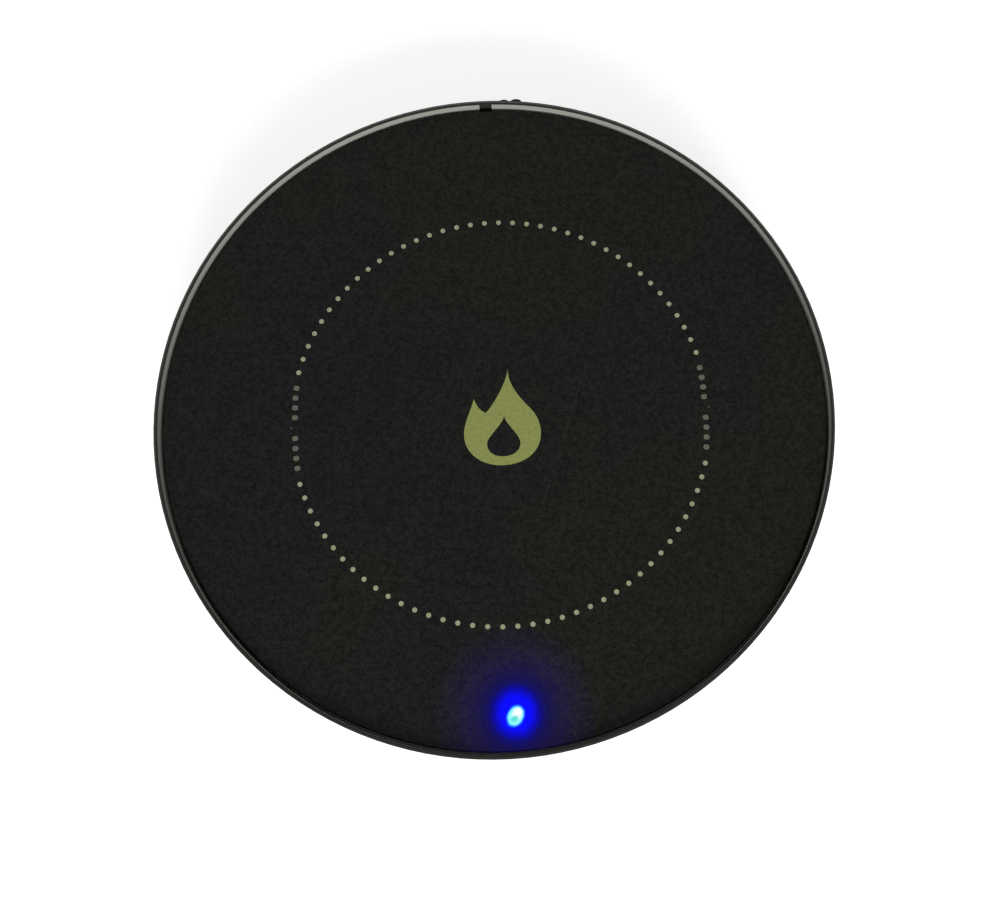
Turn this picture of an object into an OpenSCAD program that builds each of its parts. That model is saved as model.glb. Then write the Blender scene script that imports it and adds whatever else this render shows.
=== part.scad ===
// Electric mug warmer with a floating glass hot plate.
// The glass, its carrier and the heater sink a little under a mug, guided by four posts,
// and press the plunger of a switch in the base. Four coil springs lift them again.
// Origin: centre of the rim, on the surface that the feet stand on. +Z is up and -Y is the front.

/* [Rim and body] */
// Outer diameter of the rim
rim_d = 120; // [112:1:130]
// Height from the standing surface to the top of the rim
body_h = 19; // [17.4:0.2:21]
// Height of the rim above the glass
lip_h = 1.6; // [0.8:0.1:2]
// Width of the flat land on top of the rim
lip_w = 0.4; // [0.3:0.05:0.6]
// Height of the upright side below the rim's top edge
side_h = 5.5; // [4.5:0.25:6.5]
// How far the underside's edge lies inside the rim
undercut = 8; // [6.5:0.5:9]
// Height of the frame above the joint line between base and frame
joint_h = 10; // [9.8:0.1:10.6]
// Wall thickness of the base shell
wall = 1.8; // [1.5:0.1:2]
// Thickness of the base shell's floor
floor_t = 1.8; // [1.5:0.1:2]

/* [Trim strip] */
// Thickness of the bright strip inside the lip
trim_t = 0.25; // [0.2:0.05:0.4]
// How far the strip's top lies below the lip's top
trim_drop = 0.4; // [0.3:0.1:0.8]
// Gap between the ends of the strip at the rear
trim_split = 2.3; // [1.5:0.1:4]
// Distance of that gap from the centre line
trim_split_x = 0.8; // [0:0.1:4]

/* [Glass and its seal] */
// Thickness of the glass
glass_t = 2; // [1.6:0.1:2.4]
// Gap round the glass
glass_gap = 0.45; // [0.35:0.05:0.7]
// Width of the ground edge round the glass
glass_arris = 0.3; // [0.1:0.05:0.5]
// Thickness of the silicone seal under the glass
seal_t = 0.3; // [0.2:0.05:0.5]

/* [Floating plate] */
// How far the plate sinks
travel = 1.2; // [0.6:0.1:1.4]
// Thickness of the carrier ring
carrier_t = 1.8; // [1.5:0.1:2]
// Distance of the guide posts from the rim's edge
post_inset = 10; // [9.8:0.1:10.4]
// Diameter of a guide post
post_d = 4; // [3.4:0.1:4.4]
// Clearance round a guide post in its bore
post_clear = 0.08; // [0.03:0.01:0.1]
// Installed length of a return spring
spring_h = 4; // [3.9:0.1:4.6]
// Diameter of the spring wire
spring_wire = 0.5; // [0.35:0.05:0.55]
// Outer diameter of a return spring
spring_od = 6.4; // [6.2:0.1:6.8]
// Thickness of the eye that guides a post
eye_t = 1.6; // [1.4:0.1:2]

/* [Hot stack] */
// Distance of the heat spreader's edge from the rim's edge
spreader_inset = 18; // [17.8:0.2:20]
// Thickness of the heat spreader
spreader_t = 1.5; // [1:0.1:1.6]
// Thickness of a mica sheet
mica_t = 0.4; // [0.3:0.05:0.5]
// Thickness of the heater ribbon
ribbon_t = 0.2; // [0.1:0.05:0.3]
// Width of the heater track
track_w = 2; // [1.4:0.1:2.4]
// Distance between the heater's rings
track_pitch = 3.6; // [3.2:0.1:4.4]
// Thickness of the felt below the heater
felt_t = 1.2; // [0.8:0.1:1.3]
// Thickness of the steel heat shield
shield_t = 0.5; // [0.4:0.05:0.6]

/* [Rear cord gland] */
// Distance of the gland from the centre line
gland_x = 5.3; // [0:0.1:8]
// Height of the cord's centre
gland_z = 7; // [6.8:0.1:7.2]
// Diameter of one core of the twin cord
core_d = 1.5; // [1.2:0.1:1.7]
// Distance between the two cores
core_pitch = 2.4; // [2.2:0.1:2.6]
// Rubber round each core in the gland's nose
nose_wall = 0.45; // [0.3:0.05:0.6]
// How far the nose reaches past the rim
nose_reach = 6.2; // [2:0.2:10]

/* [Indicator light] */
// Distance of the light from the rim's edge
light_inset = 8; // [7.8:0.1:8.5]
// Diameter of the light
light_d = 3; // [2.6:0.1:3.2]

/* [Feet] */
// Diameter of a rubber foot
foot_d = 12; // [8:0.5:14]
// How far a foot stands out of the base
foot_proud = 1.5; // [1.2:0.1:1.6]
// Depth of the recess that holds a foot
foot_recess = 0.8; // [0.4:0.1:1]
// Distance of the feet's centres from the rim's edge
foot_inset = 20; // [18:1:24]

/* [Hidden] */
$fn = 96;
eps = 0.01;

// Heights, from the top down
rim_r = rim_d / 2;
flank_top = body_h - side_h;
joint_z = body_h - joint_h;
glass_top = body_h - lip_h;
glass_bottom = glass_top - glass_t;
carrier_top = glass_bottom - seal_t;
carrier_bottom = carrier_top - carrier_t;
eye_top = carrier_bottom - spring_h;
eye_bottom = eye_top - eye_t;
floor_bottom = foot_proud;
floor_top = floor_bottom + floor_t;

// Outer flank: one arc that is upright at flank_top and meets the flat underside
flank_rise = flank_top - floor_bottom;
flank_r = (undercut * undercut + flank_rise * flank_rise) / (2 * undercut);
function body_r(z, inset) = rim_r - flank_r + sqrt(pow(flank_r - inset, 2) - pow(flank_top - z, 2));

// Upper frame
lip_round = 0.2;
joint_groove = 0.35;
lip_in_r = rim_r - lip_w;
trim_in_r = lip_in_r - trim_t;
frame_wall = 2.4;
frame_in_r = rim_r - frame_wall;
ledge_z = flank_top - 0.5;
flange_t = 1.2;
flange_top = joint_z + flange_t;
flange_w = 2.4;
flange_in_r = frame_in_r - flange_w;
tongue_h = 1.4;
tongue_clear = 0.15;
arm_wall = 0.3;

// Glass and carrier
glass_r = trim_in_r - glass_gap;
side_clear = 0.4;
carrier_r = frame_in_r - side_clear;
spreader_r = rim_r - spreader_inset;
carrier_in_r = spreader_r + 0.4;
skirt_t = 1.2;
skirt_h = 1.1;
rib_t = 1;
rib_h = 0.9;
rib_n = 24;

// Guide posts, springs and stops
post_angles = [45, 135, 225, 315];
post_pcd_r = rim_r - post_inset;
foot_pcd_r = rim_r - foot_inset;
post_r = post_d / 2;
eye_r = 4.4;
stop_gap = 0.05;
post_tip = eye_bottom - stop_gap;
cup_wall = 0.9;
cup_clear = 0.4;
cup_in_r = spring_od / 2 + cup_clear;
cup_r = cup_in_r + cup_wall;
cup_bottom = eye_top + travel + stop_gap;
spring_clear = 0.02;
spring_turns = 3.5;
spring_sides = 6;
spring_steps = 14;
washer_r = 3.6;
washer_t = 0.4;
stop_head_r = 2.4;
stop_head_h = 0.8;
stop_shaft_r = 0.9;
stop_shaft_h = 5;

// Hot stack, from the glass down
spreader_bottom = glass_bottom - spreader_t;
upper_mica_bottom = spreader_bottom - mica_t;
ribbon_bottom = upper_mica_bottom - ribbon_t;
lower_mica_bottom = ribbon_bottom - mica_t;
felt_bottom = lower_mica_bottom - felt_t;
shield_bottom = felt_bottom - shield_t;
shield_wall_r = spreader_r - 0.4;
felt_r = shield_wall_r - shield_t - 0.2;
shield_flange_r = carrier_in_r + 1;
ear_angles = [0, 90, 180, 270];
ear_r = 2.6;
ear_pcd_r = carrier_in_r + 2;
shield_screw_r = 0.9;
shield_screw_l = 1.4;
shield_head_r = 1.8;
shield_head_h = 0.9;

// Heater track
track_in_r = 8.4;
track_edge = 2.4;
track_n = floor((spreader_r - track_edge - track_in_r) / track_pitch) + 1;
track_out_r = track_in_r + (track_n - 1) * track_pitch;
slot_half = track_w / 2 + (track_pitch - track_w);
pad_y = track_out_r;
free_side = track_n % 2 == 0 ? 1 : -1;
pad_places = [free_side * (slot_half + track_w / 2), 0];
lead_r = 0.7;
lead_hole_r = 1;
lead_bend_r = 1.6;
lead_run = 2;
lead_foot = 0.9;

// Thermal parts under the shield
fuse_y = -6;
fuse_r = 1.25;
fuse_l = 9;
fuse_lead_r = 0.3;
fuse_lead_l = 7;
sensor_y = -12;
sensor_r = 0.9;
sensor_l = 4;
sensor_lead_r = 0.2;
sensor_lead_l = 8;
clip_t = 0.4;
clip_w = 3;
clip_foot = 2.4;

// Housing screws and their bosses
screw_angles = [67.5, 112.5, 247.5, 292.5];
screw_inset = 12.5;
screw_pcd_r = rim_r - screw_inset;
boss_r = 3.6;
boss_top = joint_z - 1;
screw_r = 1.25;
screw_clear_r = 1.5;
screw_head_r = 2.4;
screw_head_h = 1.3;
screw_sink_r = 2.6;
screw_sink = 3;
screw_seat_z = floor_bottom + screw_sink;
screw_tip_z = flange_top - 0.5;
boss_root = 0.3;

// Boards
board_t = 1.2;
tallest_h = 3;
stand_share = 0.4;
spare_h = shield_bottom - travel - floor_top - board_t - tallest_h;
board_stand = stand_share * spare_h;
board_z = floor_top + board_stand;
board_top = board_z + board_t;
board_post_r = 2.2;
board_pilot_depth = 1.2;
board_screw_r = 0.9;
board_screw_pass_r = 1;
board_head_r = 1.8;
board_head_h = 1;
board_clear = 0.3;
board_edge_gap = 0.4;
board_reach = body_r(board_z, wall) - board_edge_gap;
board_w = 52;
board_d = 26;
board_inset = 21;
board_y1 = rim_r - board_inset;
board_y0 = board_y1 - board_d;
board_round = 3;
board_hole_dx = 3.5;
board_hole_dy = 4;
board_hole_x = board_w / 2 - board_hole_dx;
board_hole_y0 = board_y0 + board_hole_dy;
board_hole_y1 = board_y1 - board_hole_dy;

// Places of the parts on the control board, from its edges
board_bite = 0.8;
terminal_dx = 6;
terminal_dy = 4.5;
terminal_x = gland_x + terminal_dx;
terminal_y = board_y1 - terminal_dy;
triac_dx = 10;
triac_dy = 12;
triac_x = triac_dx - board_w / 2;
triac_y = board_y0 + triac_dy;
chip_dx = 16;
chip_dy = 10;
chip_x = board_w / 2 - chip_dx;
chip_y = board_y0 + chip_dy;
film_dx = 11.5;
film_dy = 4;
film_x = film_dx - board_w / 2;
film_y = board_y1 - film_dy;
can_dx = 23;
can_dy = 9;
can_x = can_dx - board_w / 2;
can_y = board_y0 + can_dy;
fuse_dx = 7;
fuse_dy = 13;
fuse_x = board_w / 2 - fuse_dx;
fuse_board_y = board_y0 + fuse_dy;
resistor_dx = 19;
resistor_dy = 3;
resistor_x = resistor_dx - board_w / 2;
resistor_pitch = 2.6;
resistor_w = 1.3;
resistor_l = 2;
resistor_h = 0.6;

// Gravity switch, at the left
switch_inset = 11;
switch_r = rim_r - switch_inset;
switch_w = 5.8;
switch_l = 12.8;
switch_h = 4.6;
switch_top = board_top + switch_h;
plunger_r = 0.9;
plunger_proud = travel + 0.4;
plunger_top = switch_top + plunger_proud;
plunger_root = 1.4;
plunger_clear = 0.05;
touch_gap = 0.05;
switch_board_w = 8;
switch_board_l = 22;
switch_hole = 9;
terminal_pitch = 5;
terminal_r = 0.4;
terminal_clear = 0.1;
tail_share = 0.6;
terminal_tail = tail_share * board_stand;
plunger_step = 0.25;
actuator_r = 2;

// Indicator light, at the front
light_r = rim_r - light_inset;
light_board_w = 18;
light_board_d = 8;
light_board_shift = 2;
light_board_r = light_r - light_board_shift;
light_hole = 7;
spacer_r = 2.4;
light_l = 3.4;
light_flange_r = light_d / 2 + 0.35;
light_flange_h = 0.8;
light_air = 0.3;
guide_r = 1.6;
guide_head_r = 2.3;
guide_head_h = 0.6;
guide_seat_w = 0.8;
light_top = carrier_bottom - guide_head_h - travel - light_air;
spacer_h = light_top - light_l - board_top;
light_lead_r = 0.25;
light_lead_gap = 1.27;

// Cord gland and clamp
nose_r = core_d / 2 + nose_wall;
nose_y = rim_r + nose_reach;
neck_w = 6.4;
neck_h = 4;
neck_round = 1.6;
collar_w = neck_w + 1.6;
collar_h = neck_h + 0.8;
collar_round = 2;
collar_t = 1.4;
collar_in = 7;
collar_out = 0.2;
collar_in_y = rim_r - collar_in;
collar_out_y = rim_r - collar_out;
gland_edge = 0.5;
gland_block_w = collar_w + 2 * gland_edge;
gland_block_h = collar_h + 2 * gland_edge;
clamp_inset = 13.5;
clamp_y = rim_r - clamp_inset;
clamp_w = 15;
clamp_d = 5;
clamp_t = 1.6;
clamp_round = 2;
clamp_screw_x = 5.2;
clamp_post_top = gland_z - 0.15;
clamp_post_r = 2;
clamp_screw_r = 0.8;
clamp_bite = 1.5;
clamp_head_r = 1.7;
clamp_head_h = 0.8;
core_clear = 0.1;
rest_d = 2;

// Vents and ribs in the floor
vent_n = 14;
vent_w = 1.6;
vent_r0 = 12;
vent_r1 = 22;
floor_rib_r = 30;
floor_rib_t = 1;
floor_rib_h = board_stand - board_clear;

// Helpers
module ring(r_out, r_in, h) {
    difference() {
        cylinder(r = r_out, h = h);
        translate([0, 0, -eps]) cylinder(r = r_in, h = h + 2 * eps);
    }
}

module around(angles, r) {
    for (a = angles) rotate([0, 0, a]) translate([r, 0, 0]) children();
}

module lift(z) {
    translate([0, 0, z]) children();
}

module round_plate(w, d, t, r) {
    linear_extrude(t) round_rect(w, d, r);
}

module round_rect(w, d, r) {
    square([w - 2 * r, d], center = true);
    square([w, d - 2 * r], center = true);
    for (x = [-1, 1], y = [-1, 1]) translate([x * (w / 2 - r), y * (d / 2 - r)]) circle(r);
}

// Screw with its head down and its tip up, head seat at the origin
module screw_up(r, l, head_r, head_h) {
    cylinder(r = r, h = l);
    difference() {
        lift(-head_h) cylinder(r = head_r, h = head_h);
        lift(-head_h) cross_recess(head_r);
    }
}

// Screw with its head up and its tip down, head seat at the origin
module screw_down(r, l, head_r, head_h) {
    mirror([0, 0, 1]) screw_up(r, l, head_r, head_h);
}

module cross_recess(head_r) {
    arm = head_r * 1.1;
    slot = head_r * 0.28;
    depth = head_r * 0.25;
    for (a = [0, 90]) rotate([0, 0, a]) translate([-arm / 2, -slot / 2, -eps]) cube([arm, slot, depth]);
}

// Section of the body's outside, drawn inward by inset
module body_section(inset) {
    difference() {
        union() {
            translate([rim_r - flank_r, flank_top]) circle(flank_r - inset);
            translate([0, floor_bottom]) square([rim_r - flank_r, flank_top - floor_bottom]);
            translate([0, flank_top]) square([rim_r - inset, body_h]);
        }
        translate([-2 * flank_r, -2 * flank_r]) square([2 * flank_r, 6 * flank_r]);
    }
}

module band(r0, r1, z0, z1) {
    translate([r0, z0]) square([r1 - r0, z1 - z0]);
}

// Base shell
module base_shell() {
    color("#1c1c1d") difference() {
        union() {
            rotate_extrude() difference() {
                intersection() {
                    body_section(0);
                    band(0, rim_r, floor_bottom, joint_z);
                }
                intersection() {
                    body_section(wall);
                    band(0, rim_r, floor_top, joint_z + 1);
                }
                difference() {
                    band(0, rim_r, joint_z - joint_groove, joint_z + 1);
                    body_section(joint_groove);
                }
            }
            base_bosses();
            base_ribs();
        }
        around(screw_angles, screw_pcd_r) {
            lift(floor_bottom - eps) cylinder(r = screw_sink_r, h = screw_seat_z - floor_bottom + eps);
            lift(floor_bottom) cylinder(r = screw_clear_r, h = boss_top);
        }
        around(post_angles, foot_pcd_r) lift(floor_bottom - eps) cylinder(d = foot_d, h = foot_recess + eps);
        vents();
        board_pilots();
        clamp_places() lift(floor_top) cylinder(r = clamp_screw_r, h = clamp_post_top);
        gland_notch();
    }
}

module base_bosses() {
    around(screw_angles, screw_pcd_r) boss(boss_r, boss_top);
    board_places() boss(board_post_r, board_z);
    clamp_places() boss(clamp_post_r, clamp_post_top);
    translate([gland_x - clamp_screw_x, clamp_y - rest_d / 2, floor_top - boss_root])
        cube([2 * clamp_screw_x, rest_d, gland_z - core_d / 2 - core_clear - floor_top + boss_root]);
    gland_block();
}

module boss(r, top) {
    lift(floor_top - boss_root) cylinder(r = r, h = top - floor_top + boss_root);
}

// Block through the wall with a flat land at each end, between which the gland's collars sit
module gland_block() {
    intersection() {
        translate([gland_x - gland_block_w / 2, collar_in_y, floor_top - boss_root])
            cube([gland_block_w, rim_r - collar_in_y, joint_z - floor_top + boss_root]);
        rotate_extrude() body_section(wall / 2);
    }
    intersection() {
        translate([gland_x, collar_in_y, gland_z]) rotate([-90, 0, 0])
            round_plate(gland_block_w, gland_block_h, collar_out_y - collar_in_y, collar_round + gland_edge);
        cylinder(r = 2 * rim_r, h = joint_z);
    }
}

module base_ribs() {
    lift(floor_top - boss_root) ring(floor_rib_r + floor_rib_t, floor_rib_r, floor_rib_h + boss_root);
    for (a = [0:30:330]) rotate([0, 0, a + 15])
        translate([vent_r1 + 1, -floor_rib_t / 2, floor_top - boss_root])
            cube([screw_pcd_r - vent_r1 - boss_r - 4, floor_rib_t, floor_rib_h + boss_root]);
}

module vents() {
    for (i = [0:vent_n - 1]) rotate([0, 0, i * 360 / vent_n]) lift(floor_bottom - eps)
        linear_extrude(floor_t + 2 * eps) {
            translate([vent_r0, -vent_w / 2]) square([vent_r1 - vent_r0, vent_w]);
            translate([vent_r0, 0]) circle(d = vent_w);
            translate([vent_r1, 0]) circle(d = vent_w);
        }
}

module board_places() {
    for (x = [-1, 1], y = [board_hole_y0, board_hole_y1]) translate([x * board_hole_x, y, 0]) children();
    for (y = [-1, 1]) translate([-switch_r, y * switch_hole, 0]) children();
    for (x = [-1, 1]) translate([x * light_hole, -light_board_r, 0]) children();
}

module board_pilots() {
    board_places() lift(floor_top - board_pilot_depth)
        cylinder(r = board_screw_r, h = board_stand + board_pilot_depth + eps);
}

module clamp_places() {
    for (x = [-1, 1]) translate([gland_x + x * clamp_screw_x, clamp_y, 0]) children();
}

// Notch that the gland's neck drops into; the frame closes it
module gland_notch() {
    translate([gland_x, collar_in_y - 1, gland_z]) rotate([-90, 0, 0]) linear_extrude(rim_r) neck_section();
}

// Round below and flat on top
module neck_section() {
    round_rect(neck_w, neck_h, neck_round);
    translate([-neck_w / 2, -neck_h / 2]) square([neck_w, neck_h / 2]);
}

// Upper frame
module upper_frame() {
    color("#8d8e8a") difference() {
        union() {
            rotate_extrude() frame_section();
            around(post_angles, 0) frame_arm(post_pcd_r, eye_r, eye_bottom, eye_top);
            around(screw_angles, 0) frame_arm(screw_pcd_r, boss_r, boss_top, flange_top);
        }
        around(post_angles, post_pcd_r) lift(eye_bottom - eps)
            cylinder(r = post_r + post_clear, h = eye_t + 2 * eps);
        around(screw_angles, screw_pcd_r) lift(boss_top - eps) cylinder(r = screw_r, h = flange_top);
        gland_notch();
        translate([gland_x - gland_block_w / 2 - tongue_clear, collar_in_y, joint_z - 2 * tongue_h])
            cube([gland_block_w + 2 * tongue_clear, rim_r, 2 * tongue_h]);
    }
}

module frame_section() {
    difference() {
        union() {
            intersection() {
                frame_outline();
                band(frame_in_r, rim_r, joint_z, body_h);
            }
            band(flange_in_r, frame_in_r + eps, joint_z, flange_top);
            intersection() {
                band(flange_in_r, rim_r, joint_z - tongue_h, joint_z + eps);
                body_section(wall + tongue_clear);
            }
        }
        band(0, lip_in_r, ledge_z, body_h + 1);
    }
}

// Outline with the lip's outer edge rounded
module frame_outline() {
    difference() {
        body_section(0);
        band(rim_r - lip_round, rim_r + 1, body_h - lip_round, 2 * body_h);
        band(0, rim_r + 1, body_h, 3 * body_h);
    }
    translate([rim_r - lip_round, body_h - lip_round]) circle(lip_round, $fn = 32);
}

// Arm that carries a guide eye or a screw boss inward from the flange, cut back inside the wall
module frame_arm(reach, r, z0, z1) {
    web_r = flange_in_r - arm_wall;
    intersection() {
        union() {
            translate([reach, 0, z0]) cylinder(r = r, h = z1 - z0);
            translate([reach, -r, z0]) cube([web_r + eps - reach, 2 * r, z1 - z0]);
            translate([web_r, -r, z0]) cube([flange_w / 2, 2 * r, joint_z + flange_t / 2 - z0]);
        }
        rotate_extrude() body_section(wall + tongue_clear);
    }
}

// Trim strip: a rolled strip whose two ends stop short of each other at the rear
module trim_strip() {
    color("#c9cac6") difference() {
        lift(ledge_z) ring(lip_in_r, trim_in_r, body_h - trim_drop - ledge_z);
        translate([trim_split_x - trim_split / 2, 0, 0]) cube([trim_split, rim_r, body_h]);
    }
}

// Rubber feet
module rubber_feet() {
    chamfer = 0.5;
    h = foot_proud + foot_recess;
    color("#2a2a2b") around(post_angles, foot_pcd_r) rotate_extrude()
        polygon([[0, 0], [foot_d / 2 - chamfer, 0], [foot_d / 2, chamfer], [foot_d / 2, h], [0, h]]);
}

module housing_screws() {
    color("#9a9a9a") around(screw_angles, screw_pcd_r) lift(screw_seat_z)
        screw_up(screw_r, screw_tip_z - screw_seat_z, screw_head_r, screw_head_h);
}

// Cord gland: a collar on each side of the wall, the neck between them, and a nose with two lobes
module cord_gland() {
    color("#202021") translate([gland_x, 0, gland_z]) rotate([-90, 0, 0]) difference() {
        union() {
            lift(collar_in_y - collar_t) gland_collar();
            lift(collar_in_y - eps) linear_extrude(collar_out_y - collar_in_y + 2 * eps) neck_section();
            lift(collar_out_y) gland_collar();
            lift(collar_out_y + collar_t - eps) nose();
        }
        for (x = [-1, 1]) translate([x * core_pitch / 2, 0, collar_in_y - collar_t - eps])
            cylinder(d = core_d, h = nose_y);
    }
}

module gland_collar() {
    linear_extrude(collar_t) round_rect(collar_w, collar_h, collar_round);
}

// Each lobe is a tube with a rounded end
module nose() {
    round = nose_wall * 0.8;
    l = nose_y - collar_out_y - collar_t + eps;
    for (x = [-1, 1]) translate([x * core_pitch / 2, 0, 0]) rotate_extrude() {
        square([nose_r, l - round]);
        square([nose_r - round, l]);
        translate([nose_r - round, l - round]) circle(round, $fn = 32);
    }
    translate([-core_pitch / 2, -nose_wall, 0]) cube([core_pitch, 2 * nose_wall, l - round / 2]);
}

// Saddle that holds the cord down on its way to the terminal
module cord_clamp() {
    color("#d8d6cc") translate([gland_x, clamp_y, 0]) difference() {
        lift(clamp_post_top) round_plate(clamp_w, clamp_d, clamp_t, clamp_round);
        for (x = [-1, 1]) {
            translate([x * clamp_screw_x, 0, clamp_post_top - eps])
                cylinder(r = clamp_screw_r, h = clamp_t + 2 * eps);
            translate([x * core_pitch / 2, 0, gland_z]) rotate([90, 0, 0])
                cylinder(d = core_d + 2 * core_clear, h = clamp_d + 2 * eps, center = true);
        }
    }
}

module clamp_screws() {
    color("#9a9a9a") clamp_places() lift(clamp_post_top + clamp_t)
        screw_down(clamp_screw_r, clamp_t + clamp_bite, clamp_head_r, clamp_head_h);
}

// Glass disc with a ground edge
module top_glass() {
    color("#141413") lift(glass_bottom) rotate_extrude()
        polygon([
            [0, 0], [glass_r - glass_arris, 0], [glass_r, glass_arris],
            [glass_r, glass_t - glass_arris], [glass_r - glass_arris, glass_t], [0, glass_t]
        ]);
}

module glass_seal() {
    color("#5a5a58") difference() {
        lift(carrier_top) ring(carrier_r - 1, carrier_in_r + 1.5, seal_t);
        light_passage(guide_r + 0.4);
    }
}

module light_passage(r) {
    translate([0, -light_r, carrier_bottom - 1]) cylinder(r = r, h = glass_top);
}

// Carrier ring with skirt, ribs, spring cups, guide posts and the switch's actuator
module plate_carrier() {
    color("#262627") difference() {
        union() {
            lift(carrier_bottom) ring(carrier_r, carrier_in_r, carrier_t);
            lift(carrier_bottom - skirt_h) ring(carrier_r, carrier_r - skirt_t, skirt_h + eps);
            carrier_ribs();
            around(post_angles, post_pcd_r) {
                lift(post_tip) cylinder(r = post_r, h = carrier_bottom - post_tip + eps);
                lift(cup_bottom) cylinder(r = cup_r, h = carrier_bottom - cup_bottom + eps);
            }
            translate([-switch_r, 0, plunger_top + touch_gap])
                cylinder(r = actuator_r, h = carrier_bottom - plunger_top - touch_gap + eps);
            translate([0, -light_r, carrier_bottom - rib_h])
                cylinder(r = guide_head_r + guide_seat_w, h = rib_h + eps);
        }
        around(post_angles, post_pcd_r) {
            lift(cup_bottom - eps) ring(cup_in_r, post_r, carrier_bottom - cup_bottom + eps);
            lift(post_tip - eps) cylinder(r = stop_shaft_r, h = stop_shaft_h + eps);
        }
        around(ear_angles, ear_pcd_r) {
            lift(carrier_bottom - eps) cylinder(r = shield_screw_r, h = shield_screw_l - shield_t + eps);
            lift(carrier_bottom - skirt_h - eps) cylinder(r = ear_r + side_clear, h = skirt_h + eps);
        }
        light_passage(guide_r);
        translate([0, -light_r, carrier_bottom - rib_h - eps]) cylinder(r = guide_head_r, h = rib_h + eps);
    }
}

module carrier_ribs() {
    rib_in = shield_flange_r + 0.4;
    for (i = [0:rib_n - 1]) rotate([0, 0, (i + 0.5) * 360 / rib_n])
        translate([rib_in, -rib_t / 2, carrier_bottom - rib_h])
            cube([carrier_r - skirt_t / 2 - rib_in, rib_t, rib_h + eps]);
}

// Clear rod that takes the light up to the glass
module light_guide() {
    color("#dfe6ea") translate([0, -light_r, 0]) {
        lift(carrier_bottom - guide_head_h) cylinder(r = guide_head_r, h = guide_head_h);
        lift(carrier_bottom) cylinder(r = guide_r, h = glass_bottom - carrier_bottom);
    }
}

module heat_spreader() {
    color("#b9bcbf") lift(spreader_bottom) cylinder(r = spreader_r, h = spreader_t);
}

module upper_mica() {
    color("#c8b98e") lift(upper_mica_bottom) cylinder(r = felt_r + 0.4, h = mica_t);
}

module lower_mica() {
    color("#bfae82") difference() {
        lift(lower_mica_bottom) cylinder(r = felt_r, h = mica_t);
        lead_holes();
    }
}

module insulation_felt() {
    color("#e4e1d6") difference() {
        lift(felt_bottom) cylinder(r = felt_r, h = felt_t);
        lead_holes();
    }
}

module lead_places() {
    for (x = pad_places) translate([x, pad_y, 0]) children();
}

module lead_holes() {
    lead_places() lift(shield_bottom - eps)
        cylinder(r = lead_hole_r, h = ribbon_bottom - shield_bottom + 2 * eps);
}

// Heater: rings cut from foil and linked in turn left and right of a slot, so that one unbroken
// track runs from the outer ring's free end through every ring to the strip in the slot
module heater_ribbon() {
    color("#8f8a80") lift(ribbon_bottom) linear_extrude(ribbon_t) {
        for (i = [0:track_n - 1]) track_ring(track_in_r + i * track_pitch);
        for (i = [0:track_n - 2]) track_link(i);
        translate([-track_w / 2, track_in_r - track_w / 2]) {
            square([track_w, pad_y - track_in_r + track_w / 2]);
            square([slot_half + track_w, track_w]);
        }
    }
}

module track_ring(r) {
    difference() {
        circle(r + track_w / 2);
        circle(r - track_w / 2);
        translate([-slot_half, 0]) square([2 * slot_half, r + track_w]);
    }
}

// Link i joins ring i to ring i + 1, on the left for even i and on the right for odd i
module track_link(i) {
    side = i % 2 == 0 ? -1 : 1;
    r = track_in_r + i * track_pitch;
    translate([side < 0 ? -slot_half - track_w : slot_half, r - track_w / 2])
        square([track_w, track_pitch + track_w / 2]);
}

// Steel dish under the heater, with four ears that are screwed to the carrier
module heat_shield() {
    color("#a3a6a8") difference() {
        union() {
            lift(shield_bottom) cylinder(r = shield_wall_r, h = carrier_bottom - shield_bottom);
            lift(carrier_bottom - shield_t) cylinder(r = shield_flange_r, h = shield_t);
            around(ear_angles, ear_pcd_r) lift(carrier_bottom - shield_t) cylinder(r = ear_r, h = shield_t);
        }
        lift(felt_bottom) cylinder(r = shield_wall_r - shield_t, h = carrier_bottom);
        around(ear_angles, ear_pcd_r) lift(carrier_bottom - shield_t - eps)
            cylinder(r = shield_screw_r, h = shield_t + 2 * eps);
        lead_holes();
    }
}

module shield_screws() {
    color("#8c8c8c") around(ear_angles, ear_pcd_r) lift(carrier_bottom - shield_t)
        screw_up(shield_screw_r, shield_screw_l, shield_head_r, shield_head_h);
}

// A body along X with a lead at each end, hung under the shield
module axial_part(y, r, l, wire_r, wire_l) {
    translate([0, y, shield_bottom - r]) rotate([0, 90, 0]) {
        cylinder(r = r, h = l, center = true);
        cylinder(r = wire_r, h = l + 2 * wire_l, center = true);
    }
}

module thermal_fuse() {
    color("#c9b458") axial_part(fuse_y, fuse_r, fuse_l, fuse_lead_r, fuse_lead_l);
}

module temperature_sensor() {
    color("#8a3b2a") axial_part(sensor_y, sensor_r, sensor_l, sensor_lead_r, sensor_lead_l);
}

// Strap with an arch over the fuse, an arch over the sensor and three feet on the shield
module sensor_clip() {
    color("#b0b2b4") difference() {
        union() {
            clip_arch(fuse_y, fuse_r + clip_t, fuse_r);
            clip_arch(sensor_y, sensor_r + clip_t, sensor_r);
            translate([-clip_w / 2, sensor_y - sensor_r - clip_foot, shield_bottom - clip_t])
                cube([clip_w, fuse_y - sensor_y + fuse_r + sensor_r + 2 * clip_foot, clip_t]);
        }
        clip_arch(fuse_y, fuse_r, fuse_r);
        clip_arch(sensor_y, sensor_r, sensor_r);
    }
}

// Half-round arch of radius r that reaches up to the shield
module clip_arch(y, r, axis_drop) {
    w = clip_w + (r == axis_drop ? 2 * eps : 0);
    translate([-w / 2, y, shield_bottom - axis_drop]) intersection() {
        union() {
            rotate([0, 90, 0]) cylinder(r = r, h = w);
            translate([0, -r, 0]) cube([w, 2 * r, axis_drop]);
        }
        translate([0, -r, -r]) cube([w, 2 * r, r + axis_drop]);
    }
}

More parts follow.
